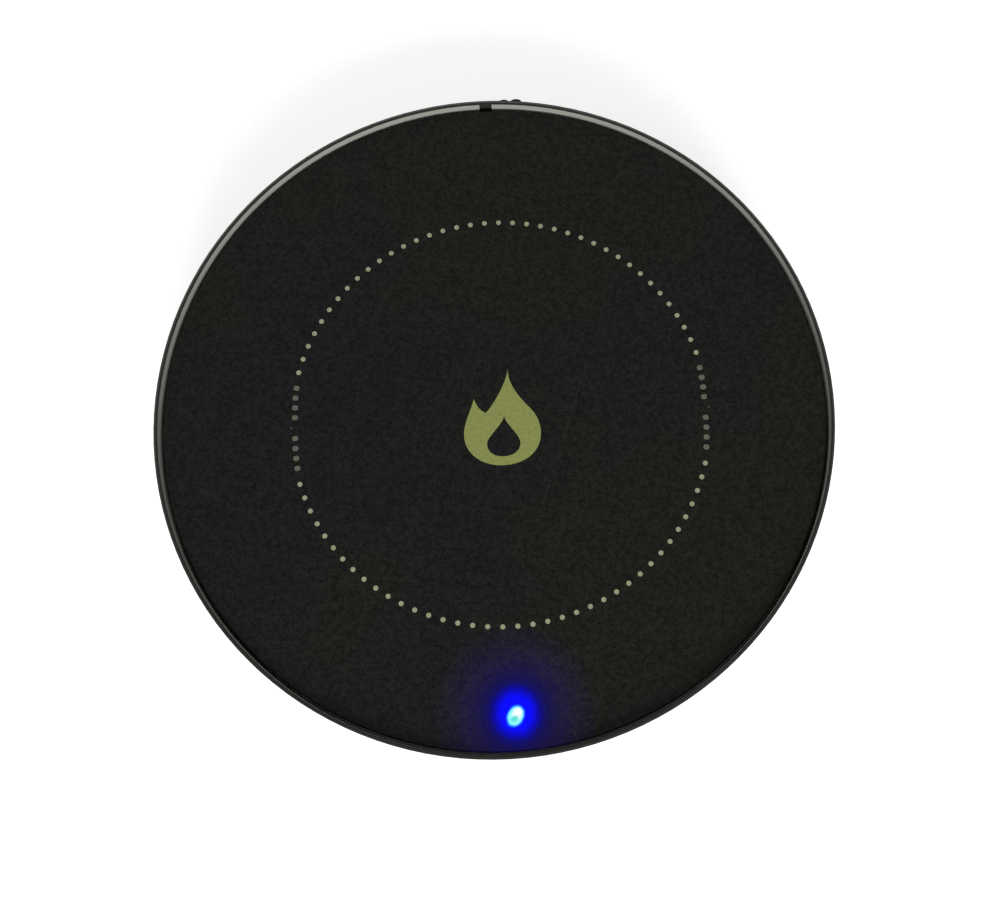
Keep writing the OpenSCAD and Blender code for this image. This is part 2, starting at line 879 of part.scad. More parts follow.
module stop_washers() {
    color("#b5b5b5") around(post_angles, post_pcd_r) lift(post_tip - washer_t)
        ring(washer_r, stop_shaft_r, washer_t);
}

module stop_screws() {
    color("#8c8c8c") around(post_angles, post_pcd_r) lift(post_tip - washer_t)
        screw_up(stop_shaft_r, stop_shaft_h, stop_head_r, stop_head_h);
}

// Return springs round the guide posts, each a round wire swept along a helix
function helix_point(t, side) =
    let (
        turn = 360 * spring_turns * t,
        mean_r = (spring_od - spring_wire) / 2,
        a = 360 * side / spring_sides,
        r = mean_r + spring_wire / 2 * cos(a),
        z0 = spring_wire / 2 + spring_clear,
        z = z0 + (spring_h - 2 * z0) * t + spring_wire / 2 * sin(a)
    )
    [r * cos(turn), r * sin(turn), z];

module coil_spring() {
    n = round(spring_turns * spring_steps);
    k = spring_sides;
    points = [for (i = [0:n], s = [0:k - 1]) helix_point(i / n, s)];
    sides = [
        for (i = [0:n - 1], s = [0:k - 1])
            [i * k + s, i * k + (s + 1) % k, (i + 1) * k + (s + 1) % k, (i + 1) * k + s]
    ];
    start = [for (s = [k - 1:-1:0]) s];
    end = [for (s = [0:k - 1]) n * k + s];
    polyhedron(points, concat(sides, [start], [end]));
}

module return_springs() {
    color("#c4c6c8") around(post_angles, post_pcd_r) lift(eye_top) coil_spring();
}

// Gravity switch on its small board
module switch_board() {
    color("#2f6b3c") difference() {
        small_board(-switch_r, 0, switch_board_w, switch_board_l);
        board_holes();
        for (i = [-1:1]) translate([-switch_r, i * terminal_pitch, board_z - eps])
            cylinder(r = terminal_r + terminal_clear, h = board_t + 2 * eps);
    }
}

// Board with rounded corners, cut back where it would meet the curved wall
module small_board(x, y, w, d) {
    intersection() {
        translate([x, y, board_z]) round_plate(w, d, board_t, 1);
        lift(board_z - eps) cylinder(r = board_reach, h = board_t + 2 * eps);
    }
}

module board_holes() {
    board_places() lift(board_z - eps) cylinder(r = board_screw_pass_r, h = board_t + 2 * eps);
}

module switch_body() {
    color("#3a3a3c") translate([-switch_r, 0, 0]) difference() {
        lift(board_top) round_plate(switch_w, switch_l, switch_h, 0.4);
        lift(switch_top - plunger_root - travel) cylinder(r = plunger_r + plunger_clear, h = switch_h);
    }
}

module switch_terminals() {
    color("#c8c8c0") for (i = [-1:1]) translate([-switch_r, i * terminal_pitch, board_z - terminal_tail])
        cylinder(r = terminal_r, h = board_t + terminal_tail);
}

module switch_plunger() {
    color("#b33a2e") translate([-switch_r, 0, switch_top - plunger_root]) {
        cylinder(r = plunger_r, h = plunger_root + plunger_proud - plunger_step);
        cylinder(r = plunger_r - plunger_step, h = plunger_root + plunger_proud);
    }
}

// Indicator light on its small board
module light_board() {
    color("#2f6b3c") difference() {
        small_board(0, -light_board_r, light_board_w, light_board_d);
        board_holes();
        light_leads();
    }
}

module light_spacer() {
    color("#17171a") difference() {
        translate([0, -light_r, board_top]) cylinder(r = spacer_r, h = spacer_h);
        light_leads();
    }
}

module light_leads() {
    for (x = [-1, 1]) translate([x * light_lead_gap, -light_r, board_z - terminal_tail])
        cylinder(r = light_lead_r, h = board_t + spacer_h + terminal_tail + eps);
}

module indicator_light() {
    dome = light_d / 2;
    color("#bcd8ff") {
        translate([0, -light_r, board_top + spacer_h]) rotate_extrude() {
            square([light_flange_r, light_flange_h]);
            square([dome, light_l - dome]);
            intersection() {
                translate([0, light_l - dome]) circle(dome);
                square([dome, light_l]);
            }
        }
        light_leads();
    }
}

// Control board
module control_board() {
    color("#2f6b3c") difference() {
        translate([0, board_y0 + board_d / 2, board_z])
            round_plate(board_w, board_d, board_t, board_round);
        board_holes();
    }
}

module board_screws() {
    color("#9a9a9a") board_places() lift(board_top)
        screw_down(board_screw_r, board_t + board_stand + board_bite, board_head_r, board_head_h);
}

// Box that stands on the board, centred on x and y
module chip(x, y, size) {
    translate([x, y, board_top + size.z / 2]) cube(size, center = true);
}

// Two-way terminal that the cord's cores go into
module cord_terminal() {
    size = [9, 6, tallest_h];
    clamp_well = [1.3, 1];
    wire_hole_r = 0.9;
    color("#3e8f55") difference() {
        chip(terminal_x, terminal_y, size);
        for (x = [-1, 1]) translate([terminal_x + x * size.x / 4, terminal_y, board_top]) {
            lift(size.z - clamp_well[1]) cylinder(r = clamp_well[0], h = clamp_well[1] + eps);
            lift(size.z * 0.4) rotate([-90, 0, 0]) cylinder(r = wire_hole_r, h = size.y);
        }
    }
}

// Power switch for the heater, with its metal tab towards the board's front
module triac() {
    size = [6.4, 6, 2.3];
    tab = [5, 2.4, 0.6];
    color("#2b2b2d") {
        chip(triac_x, triac_y, size);
        chip(triac_x, triac_y - size.y / 2 - tab.y / 2 + eps, tab);
    }
}

module drive_chip() {
    size = [5, 4, 1.6];
    leg = [0.4, 1, 0.3];
    pitch = 1.27;
    color("#232326") {
        chip(chip_x, chip_y, size);
        for (i = [-1.5:1.5], y = [-1, 1])
            chip(chip_x + i * pitch, chip_y + y * ((size.y + leg.y) / 2 - eps), leg);
    }
}

module film_capacitor() {
    color("#b5502c") chip(film_x, film_y, [8, 5, tallest_h]);
}

module smoothing_capacitor() {
    r = tallest_h / 2;
    l = 8;
    groove = [0.5, 0.2];
    color("#24407a") translate([can_x, can_y, board_top + r]) rotate([0, 90, 0]) difference() {
        cylinder(r = r, h = l, center = true);
        lift(l / 2 - 3 * groove[0]) ring(r + 1, r - groove[1], groove[0]);
    }
}

module board_fuse() {
    tube_r = 1.2;
    cap_r = tallest_h / 2;
    cap_l = 1.5;
    l = 8;
    color("#d9c79a") translate([fuse_x, fuse_board_y, board_top + cap_r]) rotate([90, 0, 0]) {
        cylinder(r = tube_r, h = l, center = true);
        for (z = [-1, 1]) lift(z * (l - cap_l) / 2) cylinder(r = cap_r, h = cap_l, center = true);
    }
}

module resistors() {
    color("#1f2430") for (i = [0:5])
        chip(resistor_x + i * resistor_pitch, board_y0 + resistor_dy, [resistor_w, resistor_l, resistor_h]);
}

// Flexible leads from the board up to the heater's pads
module heater_leads() {
    color("#b8322a") lead_places() lead();
}

module lead() {
    low_z = board_top + lead_foot;
    step_z = low_z + lead_bend_r;
    high_z = step_z + lead_bend_r;
    back = 2 * lead_bend_r + lead_run;
    lift(high_z) cylinder(r = lead_r, h = ribbon_bottom - high_z);
    translate([0, 0, step_z]) lead_bend(0);
    translate([0, -back, step_z]) lead_bend(180);
    translate([0, -lead_bend_r, step_z]) rotate([90, 0, 0]) cylinder(r = lead_r, h = lead_run);
    translate([0, -back, board_top]) cylinder(r = lead_r, h = low_z - board_top);
}

// Quarter bend between the upright at the origin and the level run towards -Y
module lead_bend(turn) {
    rotate([turn, 0, 0]) translate([0, -lead_bend_r, lead_bend_r]) rotate([90, 0, 90])
        rotate_extrude(angle = -90) translate([lead_bend_r, 0]) circle(lead_r, $fn = 32);
}

base_shell();
upper_frame();
trim_strip();
rubber_feet();
housing_screws();
cord_gland();
cord_clamp();
clamp_screws();
top_glass();
glass_seal();
plate_carrier();
light_guide();
heat_spreader();
upper_mica();
heater_ribbon();
lower_mica();
insulation_felt();
heat_shield();
shield_screws();
thermal_fuse();
temperature_sensor();
sensor_clip();
stop_washers();
stop_screws();
return_springs();
switch_board();
switch_body();
switch_terminals();
switch_plunger();
light_board();
light_spacer();
indicator_light();
control_board();
board_screws();
cord_terminal();
triac();
drive_chip();
film_capacitor();
smoothing_capacitor();
board_fuse();
resistors();
heater_leads();
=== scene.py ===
# %% [markdown]
# # An electric mug warmer, dressed in Blender
# The solids come packed from the CAD model and are never moved here. This file gives them their
# finishes, adds the few pieces that CAD would only fake, such as round-wire springs and thin ink
# on the glass, and sets the lights and the camera. Every length is in metres, so the small value
# MM turns the maker's millimetres into them. RIM_R is the radius of the rim, in millimetres.

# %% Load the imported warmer
import math
import bmesh
import bpy
from mathutils import Matrix, Vector


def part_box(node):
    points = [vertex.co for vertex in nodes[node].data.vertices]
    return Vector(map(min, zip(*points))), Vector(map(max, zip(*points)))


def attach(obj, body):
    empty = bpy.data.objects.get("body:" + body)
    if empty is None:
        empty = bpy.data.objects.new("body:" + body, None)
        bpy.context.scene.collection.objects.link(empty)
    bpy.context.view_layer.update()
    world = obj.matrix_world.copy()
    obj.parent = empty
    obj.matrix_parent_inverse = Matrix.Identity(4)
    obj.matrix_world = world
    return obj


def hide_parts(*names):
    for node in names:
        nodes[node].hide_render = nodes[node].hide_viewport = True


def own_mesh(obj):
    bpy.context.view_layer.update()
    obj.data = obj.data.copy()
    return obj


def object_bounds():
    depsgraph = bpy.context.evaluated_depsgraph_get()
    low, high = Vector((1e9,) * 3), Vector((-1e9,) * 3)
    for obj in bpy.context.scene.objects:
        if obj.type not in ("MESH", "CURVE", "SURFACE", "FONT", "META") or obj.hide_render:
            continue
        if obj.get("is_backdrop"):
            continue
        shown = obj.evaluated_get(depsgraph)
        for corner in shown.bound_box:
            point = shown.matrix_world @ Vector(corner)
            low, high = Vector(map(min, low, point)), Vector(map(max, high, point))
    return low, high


MM = 0.001
RIM_R = 60.0
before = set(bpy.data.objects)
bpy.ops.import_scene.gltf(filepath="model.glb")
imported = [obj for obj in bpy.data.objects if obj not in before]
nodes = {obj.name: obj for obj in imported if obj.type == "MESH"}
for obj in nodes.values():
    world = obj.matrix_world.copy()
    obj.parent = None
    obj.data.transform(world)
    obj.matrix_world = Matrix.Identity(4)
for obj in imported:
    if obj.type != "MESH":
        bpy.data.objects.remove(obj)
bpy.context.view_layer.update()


def sides_in_mm(low, high):
    """The three sides of a box between its lowest and its highest corner."""
    return [round((b - a) / MM, 2) for a, b in zip(low, high)]


# %% [markdown]
# ## The camera
# The warmer is seen from almost straight above and a little in front, close enough for the rim's
# near side to look larger than its far side. The three directions below are the camera's own
# right, up and back. Written as columns they are its turn, which keeps Euler angles out of it.

# %% Stand the camera over the warmer
CAMERA_RIGHT = (0.9984618, -0.05514992, 0.00570322)
CAMERA_UP = (0.05262584, 0.97506118, 0.21560664)
CAMERA_BACK = (-0.01745168, -0.21497485, 0.97646365)
CAMERA_PLACE = (6.6802 * MM, -59.1792 * MM, 231.5741 * MM)

camera_data = bpy.data.cameras.new("camera")
camera_data.sensor_width = 36
camera_data.lens = 44.986
camera_data.shift_x = -0.0582
camera_data.shift_y = 0.0261
camera_data.clip_start = 0.01
camera = bpy.data.objects.new("camera", camera_data)
bpy.context.scene.collection.objects.link(camera)
turn = Matrix((CAMERA_RIGHT, CAMERA_UP, CAMERA_BACK)).transposed()
camera.matrix_world = Matrix.Translation(CAMERA_PLACE) @ turn.to_4x4()
bpy.context.scene.camera = camera
print("camera", round(camera_data.lens, 1), "mm lens,", round(CAMERA_PLACE[2] / MM), "mm up")

# %% [markdown]
# ## The studio
# A small object looks best under wide soft light, so the lamps are area lamps much larger than
# the warmer. The black glass mirrors the part of the room straight above and behind it: the lamps
# stand outside that patch, or they would show as grey sheets in the glass. Seen low from behind,
# the glass would still mirror the strong key lamp as one burnt-out sheet, so that lamp gives light
# without an image of its own. The room itself gives a little over a third of the light that
# falls on the glass. To the camera, and in mirrors and glass, room and floor are plain white.

# %% Room light
world = bpy.data.worlds.new("room")
bpy.context.scene.world = world
world.use_nodes = True
room = world.node_tree
ROOM_LIGHT = 0.36
room_shader = room.nodes["Background"]
room_shader.inputs["Color"].default_value = (1, 1, 1, 1)
seen_by = room.nodes.new("ShaderNodeLightPath")


def seen_as_white(tree, path):
    """1 for rays from the camera, from a mirror or through glass, and 0 for the light itself."""
    total = None
    for ray in ("Is Camera Ray", "Is Glossy Ray", "Is Transmission Ray"):
        if total is None:
            total = path.outputs[ray]
            continue
        larger = tree.nodes.new("ShaderNodeMath")
        larger.operation = "MAXIMUM"
        tree.links.new(total, larger.inputs[0])
        tree.links.new(path.outputs[ray], larger.inputs[1])
        total = larger.outputs[0]
    return total


room_level = room.nodes.new("ShaderNodeMapRange")
room_level.inputs["To Min"].default_value = ROOM_LIGHT
room_level.inputs["To Max"].default_value = 1.0
room.links.new(seen_as_white(room, seen_by), room_level.inputs["Value"])
room.links.new(room_level.outputs["Result"], room_shader.inputs["Strength"])
print("room light", ROOM_LIGHT)

# %% Three wide lamps
LAMPS = {
    "key_lamp": ((0.10, -0.80, 0.40), 0.50, 9.4, False),
    "fill_lamp": ((-0.66, 0.10, 0.38), 0.50, 0.3, True),
    "back_lamp": ((-0.25, 0.85, 0.42), 0.45, 1.4, True),
}


def wide_lamp(name, place, width, power, mirrored):
    """A square area lamp that faces the warmer, with or without an image in glossy pieces."""
    data = bpy.data.lights.new(name, "AREA")
    data.size = width
    data.energy = power
    lamp = bpy.data.objects.new(name, data)
    lamp.location = place
    lamp.rotation_euler = (-Vector(place)).to_track_quat("-Z", "Y").to_euler()
    lamp.visible_glossy = mirrored
    bpy.context.scene.collection.objects.link(lamp)


for name, (place, width, power, mirrored) in LAMPS.items():
    wide_lamp(name, place, width, power, mirrored)
print("lamps:", ", ".join(LAMPS))

# %% [markdown]
# ## A bench for finishes
# A finish is a small tree of shader nodes. The helpers here add the nodes that nearly every finish
# needs: a place in millimetres, grain of a given size, a colour that wanders between two others, a
# bump of a given depth. The place is the object's own, so a pattern stays on its piece when the
# piece moves. Each pattern size is written as the size it has on the real surface.

# %% The finish bench
class Finish:
    """One material and the helpers that build its node tree."""

    def __init__(self, name, colour, metal=0.0, rough=0.5):
        self.material = bpy.data.materials.new(name)
        self.material.use_nodes = True
        self.tree = self.material.node_tree
        self.skin = self.tree.nodes["Principled BSDF"]
        self.skin.inputs["Base Color"].default_value = (*colour, 1)
        self.skin.inputs["Metallic"].default_value = metal
        self.skin.inputs["Roughness"].default_value = rough
        place = self.tree.nodes.new("ShaderNodeTexCoord").outputs["Object"]
        self.mm = self.vector("MULTIPLY", place, (1 / MM, 1 / MM, 1 / MM))

    def join(self, value, socket):
        """Links value to the socket if it is a node's output, and otherwise writes it there."""
        if isinstance(value, bpy.types.NodeSocket):
            self.tree.links.new(value, socket)
        elif socket.type == "RGBA":
            socket.default_value = (*value, 1)
        else:
            socket.default_value = value

    def maths(self, operation, a, b=0.0):
        """One sum on two numbers, such as ADD or MAXIMUM."""
        node = self.tree.nodes.new("ShaderNodeMath")
        node.operation = operation
        self.join(a, node.inputs[0])
        self.join(b, node.inputs[1])
        return node.outputs[0]

    def vector(self, operation, a, b=(0, 0, 0)):
        """One sum on two vectors. Lengths and dot products come out as numbers."""
        node = self.tree.nodes.new("ShaderNodeVectorMath")
        node.operation = operation
        self.join(a, node.inputs[0])
        self.join(b, node.inputs[1])
        return node.outputs["Value" if operation in ("LENGTH", "DOT_PRODUCT") else "Vector"]

    def axis(self, name, of=None):
        """One coordinate of a place, in millimetres."""
        node = self.tree.nodes.new("ShaderNodeSeparateXYZ")
        self.join(self.mm if of is None else of, node.inputs[0])
        return node.outputs[name]

    def radius(self):
        """Distance from the warmer's upright middle line, in millimetres."""
        return self.vector("LENGTH", self.vector("MULTIPLY", self.mm, (1, 1, 0)))

    def around(self):
        """A place whose first number runs round the warmer, and the other two outwards and up."""
        node = self.tree.nodes.new("ShaderNodeCombineXYZ")
        angle = self.maths("ARCTAN2", self.axis("Y"), self.axis("X"))
        self.join(self.maths("MULTIPLY", angle, RIM_R), node.inputs[0])
        self.join(self.radius(), node.inputs[1])
        self.join(self.axis("Z"), node.inputs[2])
        return node.outputs[0]

    def grain(self, size, detail=3.0, stretch=(1, 1, 1), at=None, twist=0.0):
        """Noise whose lumps are about size millimetres across, longer where stretch is above 1."""
        node = self.tree.nodes.new("ShaderNodeTexNoise")
        scale = [1 / (size * s) for s in stretch]
        place = self.vector("MULTIPLY", self.mm if at is None else at, scale)
        self.join(place, node.inputs["Vector"])
        node.inputs["Scale"].default_value = 1.0
        node.inputs["Detail"].default_value = detail
        node.inputs["Distortion"].default_value = twist
        return node.outputs["Fac"]

    def cells(self, size, output="Distance"):
        """Cells about size millimetres across: distance to each one's middle, or its colour."""
        node = self.tree.nodes.new("ShaderNodeTexVoronoi")
        node.inputs["Scale"].default_value = 1 / size
        self.join(self.mm, node.inputs["Vector"])
        return node.outputs[output]

    def between(self, value, low, high, start=0.0, end=1.0):
        """value mapped from low..high to start..end, and held there outside them."""
        node = self.tree.nodes.new("ShaderNodeMapRange")
        sockets = ("From Min", "From Max", "To Min", "To Max")
        for socket, number in zip(sockets, (low, high, start, end)):
            node.inputs[socket].default_value = number
        self.join(value, node.inputs["Value"])
        return node.outputs["Result"]

    def ends(self, name, low, high, fade):
        """1 beyond low and high along one axis and 0 between them, in millimetres."""
        along = self.axis(name)
        return self.maths("MAXIMUM", self.between(along, low, low - fade),
                          self.between(along, high, high + fade))

    def blend(self, share, first, second):
        """first where share is 0 and second where it is 1, both colours."""
        node = self.tree.nodes.new("ShaderNodeMix")
        node.data_type = "RGBA"
        self.join(share, node.inputs["Factor"])
        for value, socket in ((first, node.inputs[6]), (second, node.inputs[7])):
            self.join(value, socket)
        return node.outputs[2]

    def faces(self, name):
        """How far the surface faces along one axis, from -1 to 1."""
        return self.axis(name, self.tree.nodes.new("ShaderNodeNewGeometry").outputs["Normal"])

    def bump(self, height, depth):
        """Raises the surface by depth millimetres where height is 1, on top of earlier bumps."""
        node = self.tree.nodes.new("ShaderNodeBump")
        node.inputs["Distance"].default_value = depth * MM
        self.join(height, node.inputs["Height"])
        before = self.skin.inputs["Normal"]
        if before.is_linked:
            self.join(before.links[0].from_socket, node.inputs["Normal"])
        self.join(node.outputs["Normal"], before)

    def set(self, **sockets):
        """Writes or links the shader's sockets, with _ for a space in the name."""
        for name, value in sockets.items():
            self.join(value, self.skin.inputs[name.replace("_", " ")])


def shade(colour, factor):
    """The colour made lighter or darker by a factor."""
    return tuple(c * factor for c in colour)


def dress(finish, *names):
    """Gives the finish to CAD nodes, by writing it in their own material slots."""
    for name in names:
        slots = nodes[name].material_slots
        for slot in slots:
            slot.material = finish.material
    print(finish.material.name, "->", ", ".join(names))


print("bench ready")

# %% [markdown]
# ## The floor
# The floor is one wide plate. Its top is white paint that catches the warmer's soft shadow. To the
# camera and in reflections it glows as well, most of all far out where the lamps do not reach, so
# that it meets the white room without a line. A curved backdrop would do that too, but it would
# stand in the way of a camera behind the warmer.

# %% Lay the floor
FLOOR_WIDTH = 6.0
FLOOR_PAINT = 0.8
FLOOR_GLOW = 0.58
GLOW_FROM, GLOW_TO = 250.0, 1100.0

floor_mesh = bpy.data.meshes.new("floor")
shape = bmesh.new()
bmesh.ops.create_grid(shape, x_segments=1, y_segments=1, size=FLOOR_WIDTH / 2)
shape.to_mesh(floor_mesh)
shape.free()
floor = bpy.data.objects.new("floor", floor_mesh)
bpy.context.scene.collection.objects.link(floor)
floor_finish = Finish("floor_paint", (FLOOR_PAINT,) * 3, rough=0.9)
floor_path = floor_finish.tree.nodes.new("ShaderNodeLightPath")
far_glow = floor_finish.between(floor_finish.radius(), GLOW_FROM, GLOW_TO, FLOOR_GLOW, 1.0)
glow = floor_finish.maths("MULTIPLY", seen_as_white(floor_finish.tree, floor_path), far_glow)
floor_finish.skin.inputs["Emission Color"].default_value = (1, 1, 1, 1)
floor_finish.join(glow, floor_finish.skin.inputs["Emission Strength"])
floor_finish.skin.inputs["Specular IOR Level"].default_value = 0.0
floor_mesh.materials.append(floor_finish.material)
floor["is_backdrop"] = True
print("floor", FLOOR_WIDTH, "m wide")

# %% [markdown]
# ## Black glass with a light behind it
# The plate is a disc of black glass. From above it is nearly black, with the faint speckle of its
# dark print and a few hairlines from cleaning. Near the front a blue lamp shines through: a
# small white-hot core, a ring of pure blue, and a haze that fades over a little more than a
# centimetre. A real lamp under clear glass would make such a glow too, but slowly and with noise,
# and a baked model would lose it. So it is written as light that the glass itself gives off there.

# %% Make the glass
LIGHT_X, LIGHT_Y = 1.07, -52.93
LIGHT_TURN, LIGHT_LONG, LIGHT_WIDE = 62, 1.90, 1.42
HAZE_X, HAZE_Y, HAZE_SQUEEZE = 1.18, -52.47, 0.92
GLASS = (0.0090, 0.0090, 0.0083)
GLOW_REACH = 14.0

glass = Finish("black_glass", GLASS, rough=0.16)
glass.set(Specular_IOR_Level=0.055)
fine = glass.grain(0.33, detail=3)
coarse = glass.grain(0.95, detail=3)
speckle = glass.between(glass.maths("ADD", fine, glass.maths("MULTIPLY", coarse, 0.7)), 0.68, 1.02)
tone = glass.blend(speckle, shade(GLASS, 0.48), shade(GLASS, 1.5))
drift = glass.between(glass.grain(34.0, detail=2), 0.4, 0.6)
cast = glass.blend(drift, (1.0, 1.0, 1.12), (1.1, 1.12, 0.92))
glass.set(Base_Color=glass.vector("MULTIPLY", tone, cast))
print("black glass, tone", GLASS)

# %% [markdown]
# Fine scratches are straight and few. Each one is a band about a line on the glass, in millimetres,
# faded out at both ends. They add up to one value that lightens the tone and dulls the shine.

# %% Scratch and wipe the glass
HAIRLINES = (
    ((-13.6, 19.7), (10.4, 12.1), 0.09, 0.5), ((18.6, 13.6), (5.0, -24.0), 0.10, 1.0),
    ((-55.0, -9.2), (-37.4, -19.9), 0.10, 0.5), ((10.6, -55.4), (11.3, -57.8), 0.16, 2.4),
    ((30.5, 33.0), (37.0, 21.5), 0.07, 0.6), ((-31.0, -31.5), (-22.0, -37.5), 0.07, 0.6),
)


def hairline(start, end, width, light):
    """A faint straight scratch between two points of the glass."""
    start, end = Vector(start), Vector(end)
    way = (end - start).normalized()
    offset = glass.vector("SUBTRACT", glass.mm, (*start, 0))
    along = glass.vector("DOT_PRODUCT", offset, (*way, 0))
    aside = glass.vector("DOT_PRODUCT", offset, (-way.y, way.x, 0))
    inside = glass.between(glass.maths("ABSOLUTE", aside), width, width * 0.4, 0.0, light)
    length = (end - start).length
    fade_in = glass.between(along, 0.0, length * 0.2)
    fade_out = glass.between(along, length, length * 0.8)
    return glass.maths("MULTIPLY", inside, glass.maths("MULTIPLY", fade_in, fade_out))


scratched = 0.0
for scratch in HAIRLINES:
    scratched = glass.maths("ADD", hairline(*scratch), scratched)
plain = glass.skin.inputs["Base Color"].links[0].from_socket
scratch_light = glass.vector("MULTIPLY", (0.009, 0.009, 0.008), scratched)
glass.set(Base_Color=glass.vector("ADD", plain, scratch_light))
wiped = glass.grain(30.0, detail=2)
brushed = glass.grain(0.12, detail=1, stretch=(1, 160, 1), twist=0.6)
shine = glass.maths("ADD", glass.between(wiped, 0.3, 0.7, 0.13, 0.19),
                    glass.between(brushed, 0.68, 0.8, 0.0, 0.06))
glass.set(Roughness=glass.maths("ADD", shine, glass.maths("MULTIPLY", scratched, 0.1)))
glass.bump(fine, 0.0006)
print(len(HAIRLINES), "hairlines on the glass")

# %% [markdown]
# The painted glow has two parts with centres of their own, because the lamp sits deeper than the
# haze
# that it makes in the glass: a painted image of the lamp, which is an oval with a brighter and a
# darker side, and round it the painted blue haze, which is read from a row of steps outwards. The
# glass's own tone gives way to the painted haze, so that the blue stays pure.

# %% Paint the lamp's glow onto the glass
def ramp_of(value, steps, reach):
    """A colour ramp over a distance in millimetres."""
    node = glass.tree.nodes.new("ShaderNodeValToRGB")
    for i, (distance, colour) in enumerate(steps):
        elements = node.color_ramp.elements
        element = elements[i] if i < 2 else elements.new(1.0)
        element.position = distance / reach
        element.color = (*colour, 1)
    glass.join(glass.maths("DIVIDE", value, reach), node.inputs["Fac"])
    return node.outputs["Color"]


def oval(x, y, turn, long, wide):
    """Distance from x, y: 1 on an oval of half sizes long and wide, turned by turn degrees."""
    a = math.radians(turn)
    offset = glass.vector("SUBTRACT", glass.mm, (x, y, 0))
    along = glass.vector("DOT_PRODUCT", offset, (math.cos(a) / long, math.sin(a) / long, 0))
    aside = glass.vector("DOT_PRODUCT", offset, (-math.sin(a) / wide, math.cos(a) / wide, 0))
    along_squared = glass.maths("MULTIPLY", along, along)
    aside_squared = glass.maths("MULTIPLY", aside, aside)
    return glass.maths("SQRT", glass.maths("ADD", along_squared, aside_squared))


HAZE_STEPS = (
    (0.0, (0.0, 0.0, 1.0)), (2.4, (0.0, 0.0, 1.0)), (3.0, (0.0, 0.0, 0.74)),
    (3.6, (0.001, 0.0, 0.40)), (4.4, (0.0015, 0.0008, 0.150)), (5.4, (0.003, 0.001, 0.072)),
    (7.2, (0.004, 0.0006, 0.040)), (10.2, (0.002, 0.0, 0.016)), (GLOW_REACH, (0.0, 0.0, 0.0)),
)
haze_offset = glass.vector("SUBTRACT", glass.mm, (HAZE_X, HAZE_Y, 0))
haze_offset = glass.vector("MULTIPLY", haze_offset, (1.0, HAZE_SQUEEZE, 0))
haze_distance = glass.maths("ADD", glass.vector("LENGTH", haze_offset),
                            glass.between(coarse, 0.3, 0.7, -0.12, 0.12))
haze = ramp_of(haze_distance, HAZE_STEPS, GLOW_REACH)
on_top = glass.between(glass.faces("Z"), 0.5, 0.9)
in_haze = glass.maths("MULTIPLY", glass.between(haze_distance, 9.0, 4.2), on_top)
plain = glass.skin.inputs["Base Color"].links[0].from_socket
glass.set(Base_Color=glass.blend(in_haze, plain, (0.0002, 0.0002, 0.001)))
# Painted light: an image of the lamp, drawn as an oval on the glass.
painted_lamp_image = oval(LIGHT_X, LIGHT_Y, LIGHT_TURN, LIGHT_LONG, LIGHT_WIDE)
lamp_rim = glass.maths("ADD", painted_lamp_image, glass.between(coarse, 0.3, 0.7, -0.04, 0.04))
lamp_share = glass.between(lamp_rim, 1.08, 0.76)
white_side = glass.between(oval(LIGHT_X + 0.25, LIGHT_Y + 0.35, LIGHT_TURN, 1.2, 0.9), 1.15, 0.55)
dim_side = glass.between(oval(LIGHT_X - 0.20, LIGHT_Y - 0.45, 20, 0.70, 0.50), 1.3, 0.5)
lamp_colour = glass.blend(white_side, (0.26, 0.97, 0.98), (0.95, 1.0, 1.0))
lamp_colour = glass.blend(dim_side, lamp_colour, (0.10, 0.76, 0.70))
edge_colour = glass.blend(glass.between(painted_lamp_image, 0.80, 0.98), lamp_colour, (0.02, 0.50, 0.95))
painted_glow_colour = glass.blend(lamp_share, haze, edge_colour)
# Painted light: the glass itself gives off the lamp's image and its blue haze.
glass.set(Emission_Color=painted_glow_colour, Emission_Strength=on_top)
dress(glass, "top_glass")

# %% [markdown]
# ## Silver paint
# The frame is moulded in black and sprayed silver from outside. The spraying mask sits on the lip,
# so the lip's narrow top and all that faces the glass stay bare black. The top is a little greyer
# from handling, and its inner edge is rounded: the solid draws it sharp, and here the surface of
# the top leans inwards in its shading. The paint holds tiny flakes: cells of random brightness
# that stand up a hair. The face's direction, its height and its radius tell the painted side from
# the bare one.

# %% Spray the frame
SILVER = (0.112, 0.112, 0.107)
BARE_BLACK = (0.024, 0.024, 0.020)
LIP_TOP = (0.078, 0.078, 0.071)
LIP_LEAN = 1.4
LIP_LOW = 18.6
BARE_R = 57.7
PAINT_METAL = 0.55
FLAKE = 0.10

silver = Finish("silver_paint", SILVER, metal=PAINT_METAL, rough=0.36)
flake = silver.tree.nodes.new("ShaderNodeSeparateColor")
silver.join(silver.cells(FLAKE, output="Color"), flake.inputs[0])
flake_light = silver.between(flake.outputs[0], 0.0, 1.0, 0.86, 1.14)
cloud = silver.between(silver.grain(14.0, detail=2), 0.3, 0.7, 0.96, 1.04)
painted = silver.vector("MULTIPLY", SILVER, silver.maths("MULTIPLY", flake_light, cloud))
facing = silver.tree.nodes.new("ShaderNodeNewGeometry").outputs["Normal"]
outwards = silver.vector("NORMALIZE", silver.vector("MULTIPLY", silver.mm, (1, 1, 0)))
bare_side = silver.between(silver.vector("DOT_PRODUCT", outwards, facing), -0.35, -0.6)
bare_inside = silver.between(silver.radius(), BARE_R, BARE_R - 0.2)
masked_top = silver.maths("MULTIPLY", silver.between(silver.faces("Z"), 0.5, 0.7),
                          silver.between(silver.axis("Z"), LIP_LOW, LIP_LOW + 0.3))
bare = silver.maths("MAXIMUM", silver.maths("MAXIMUM", bare_side, bare_inside), masked_top)
lean = silver.vector("MULTIPLY", outwards, silver.maths("MULTIPLY", masked_top, -LIP_LEAN))
silver.set(Normal=silver.vector("NORMALIZE", silver.vector("ADD", facing, lean)))
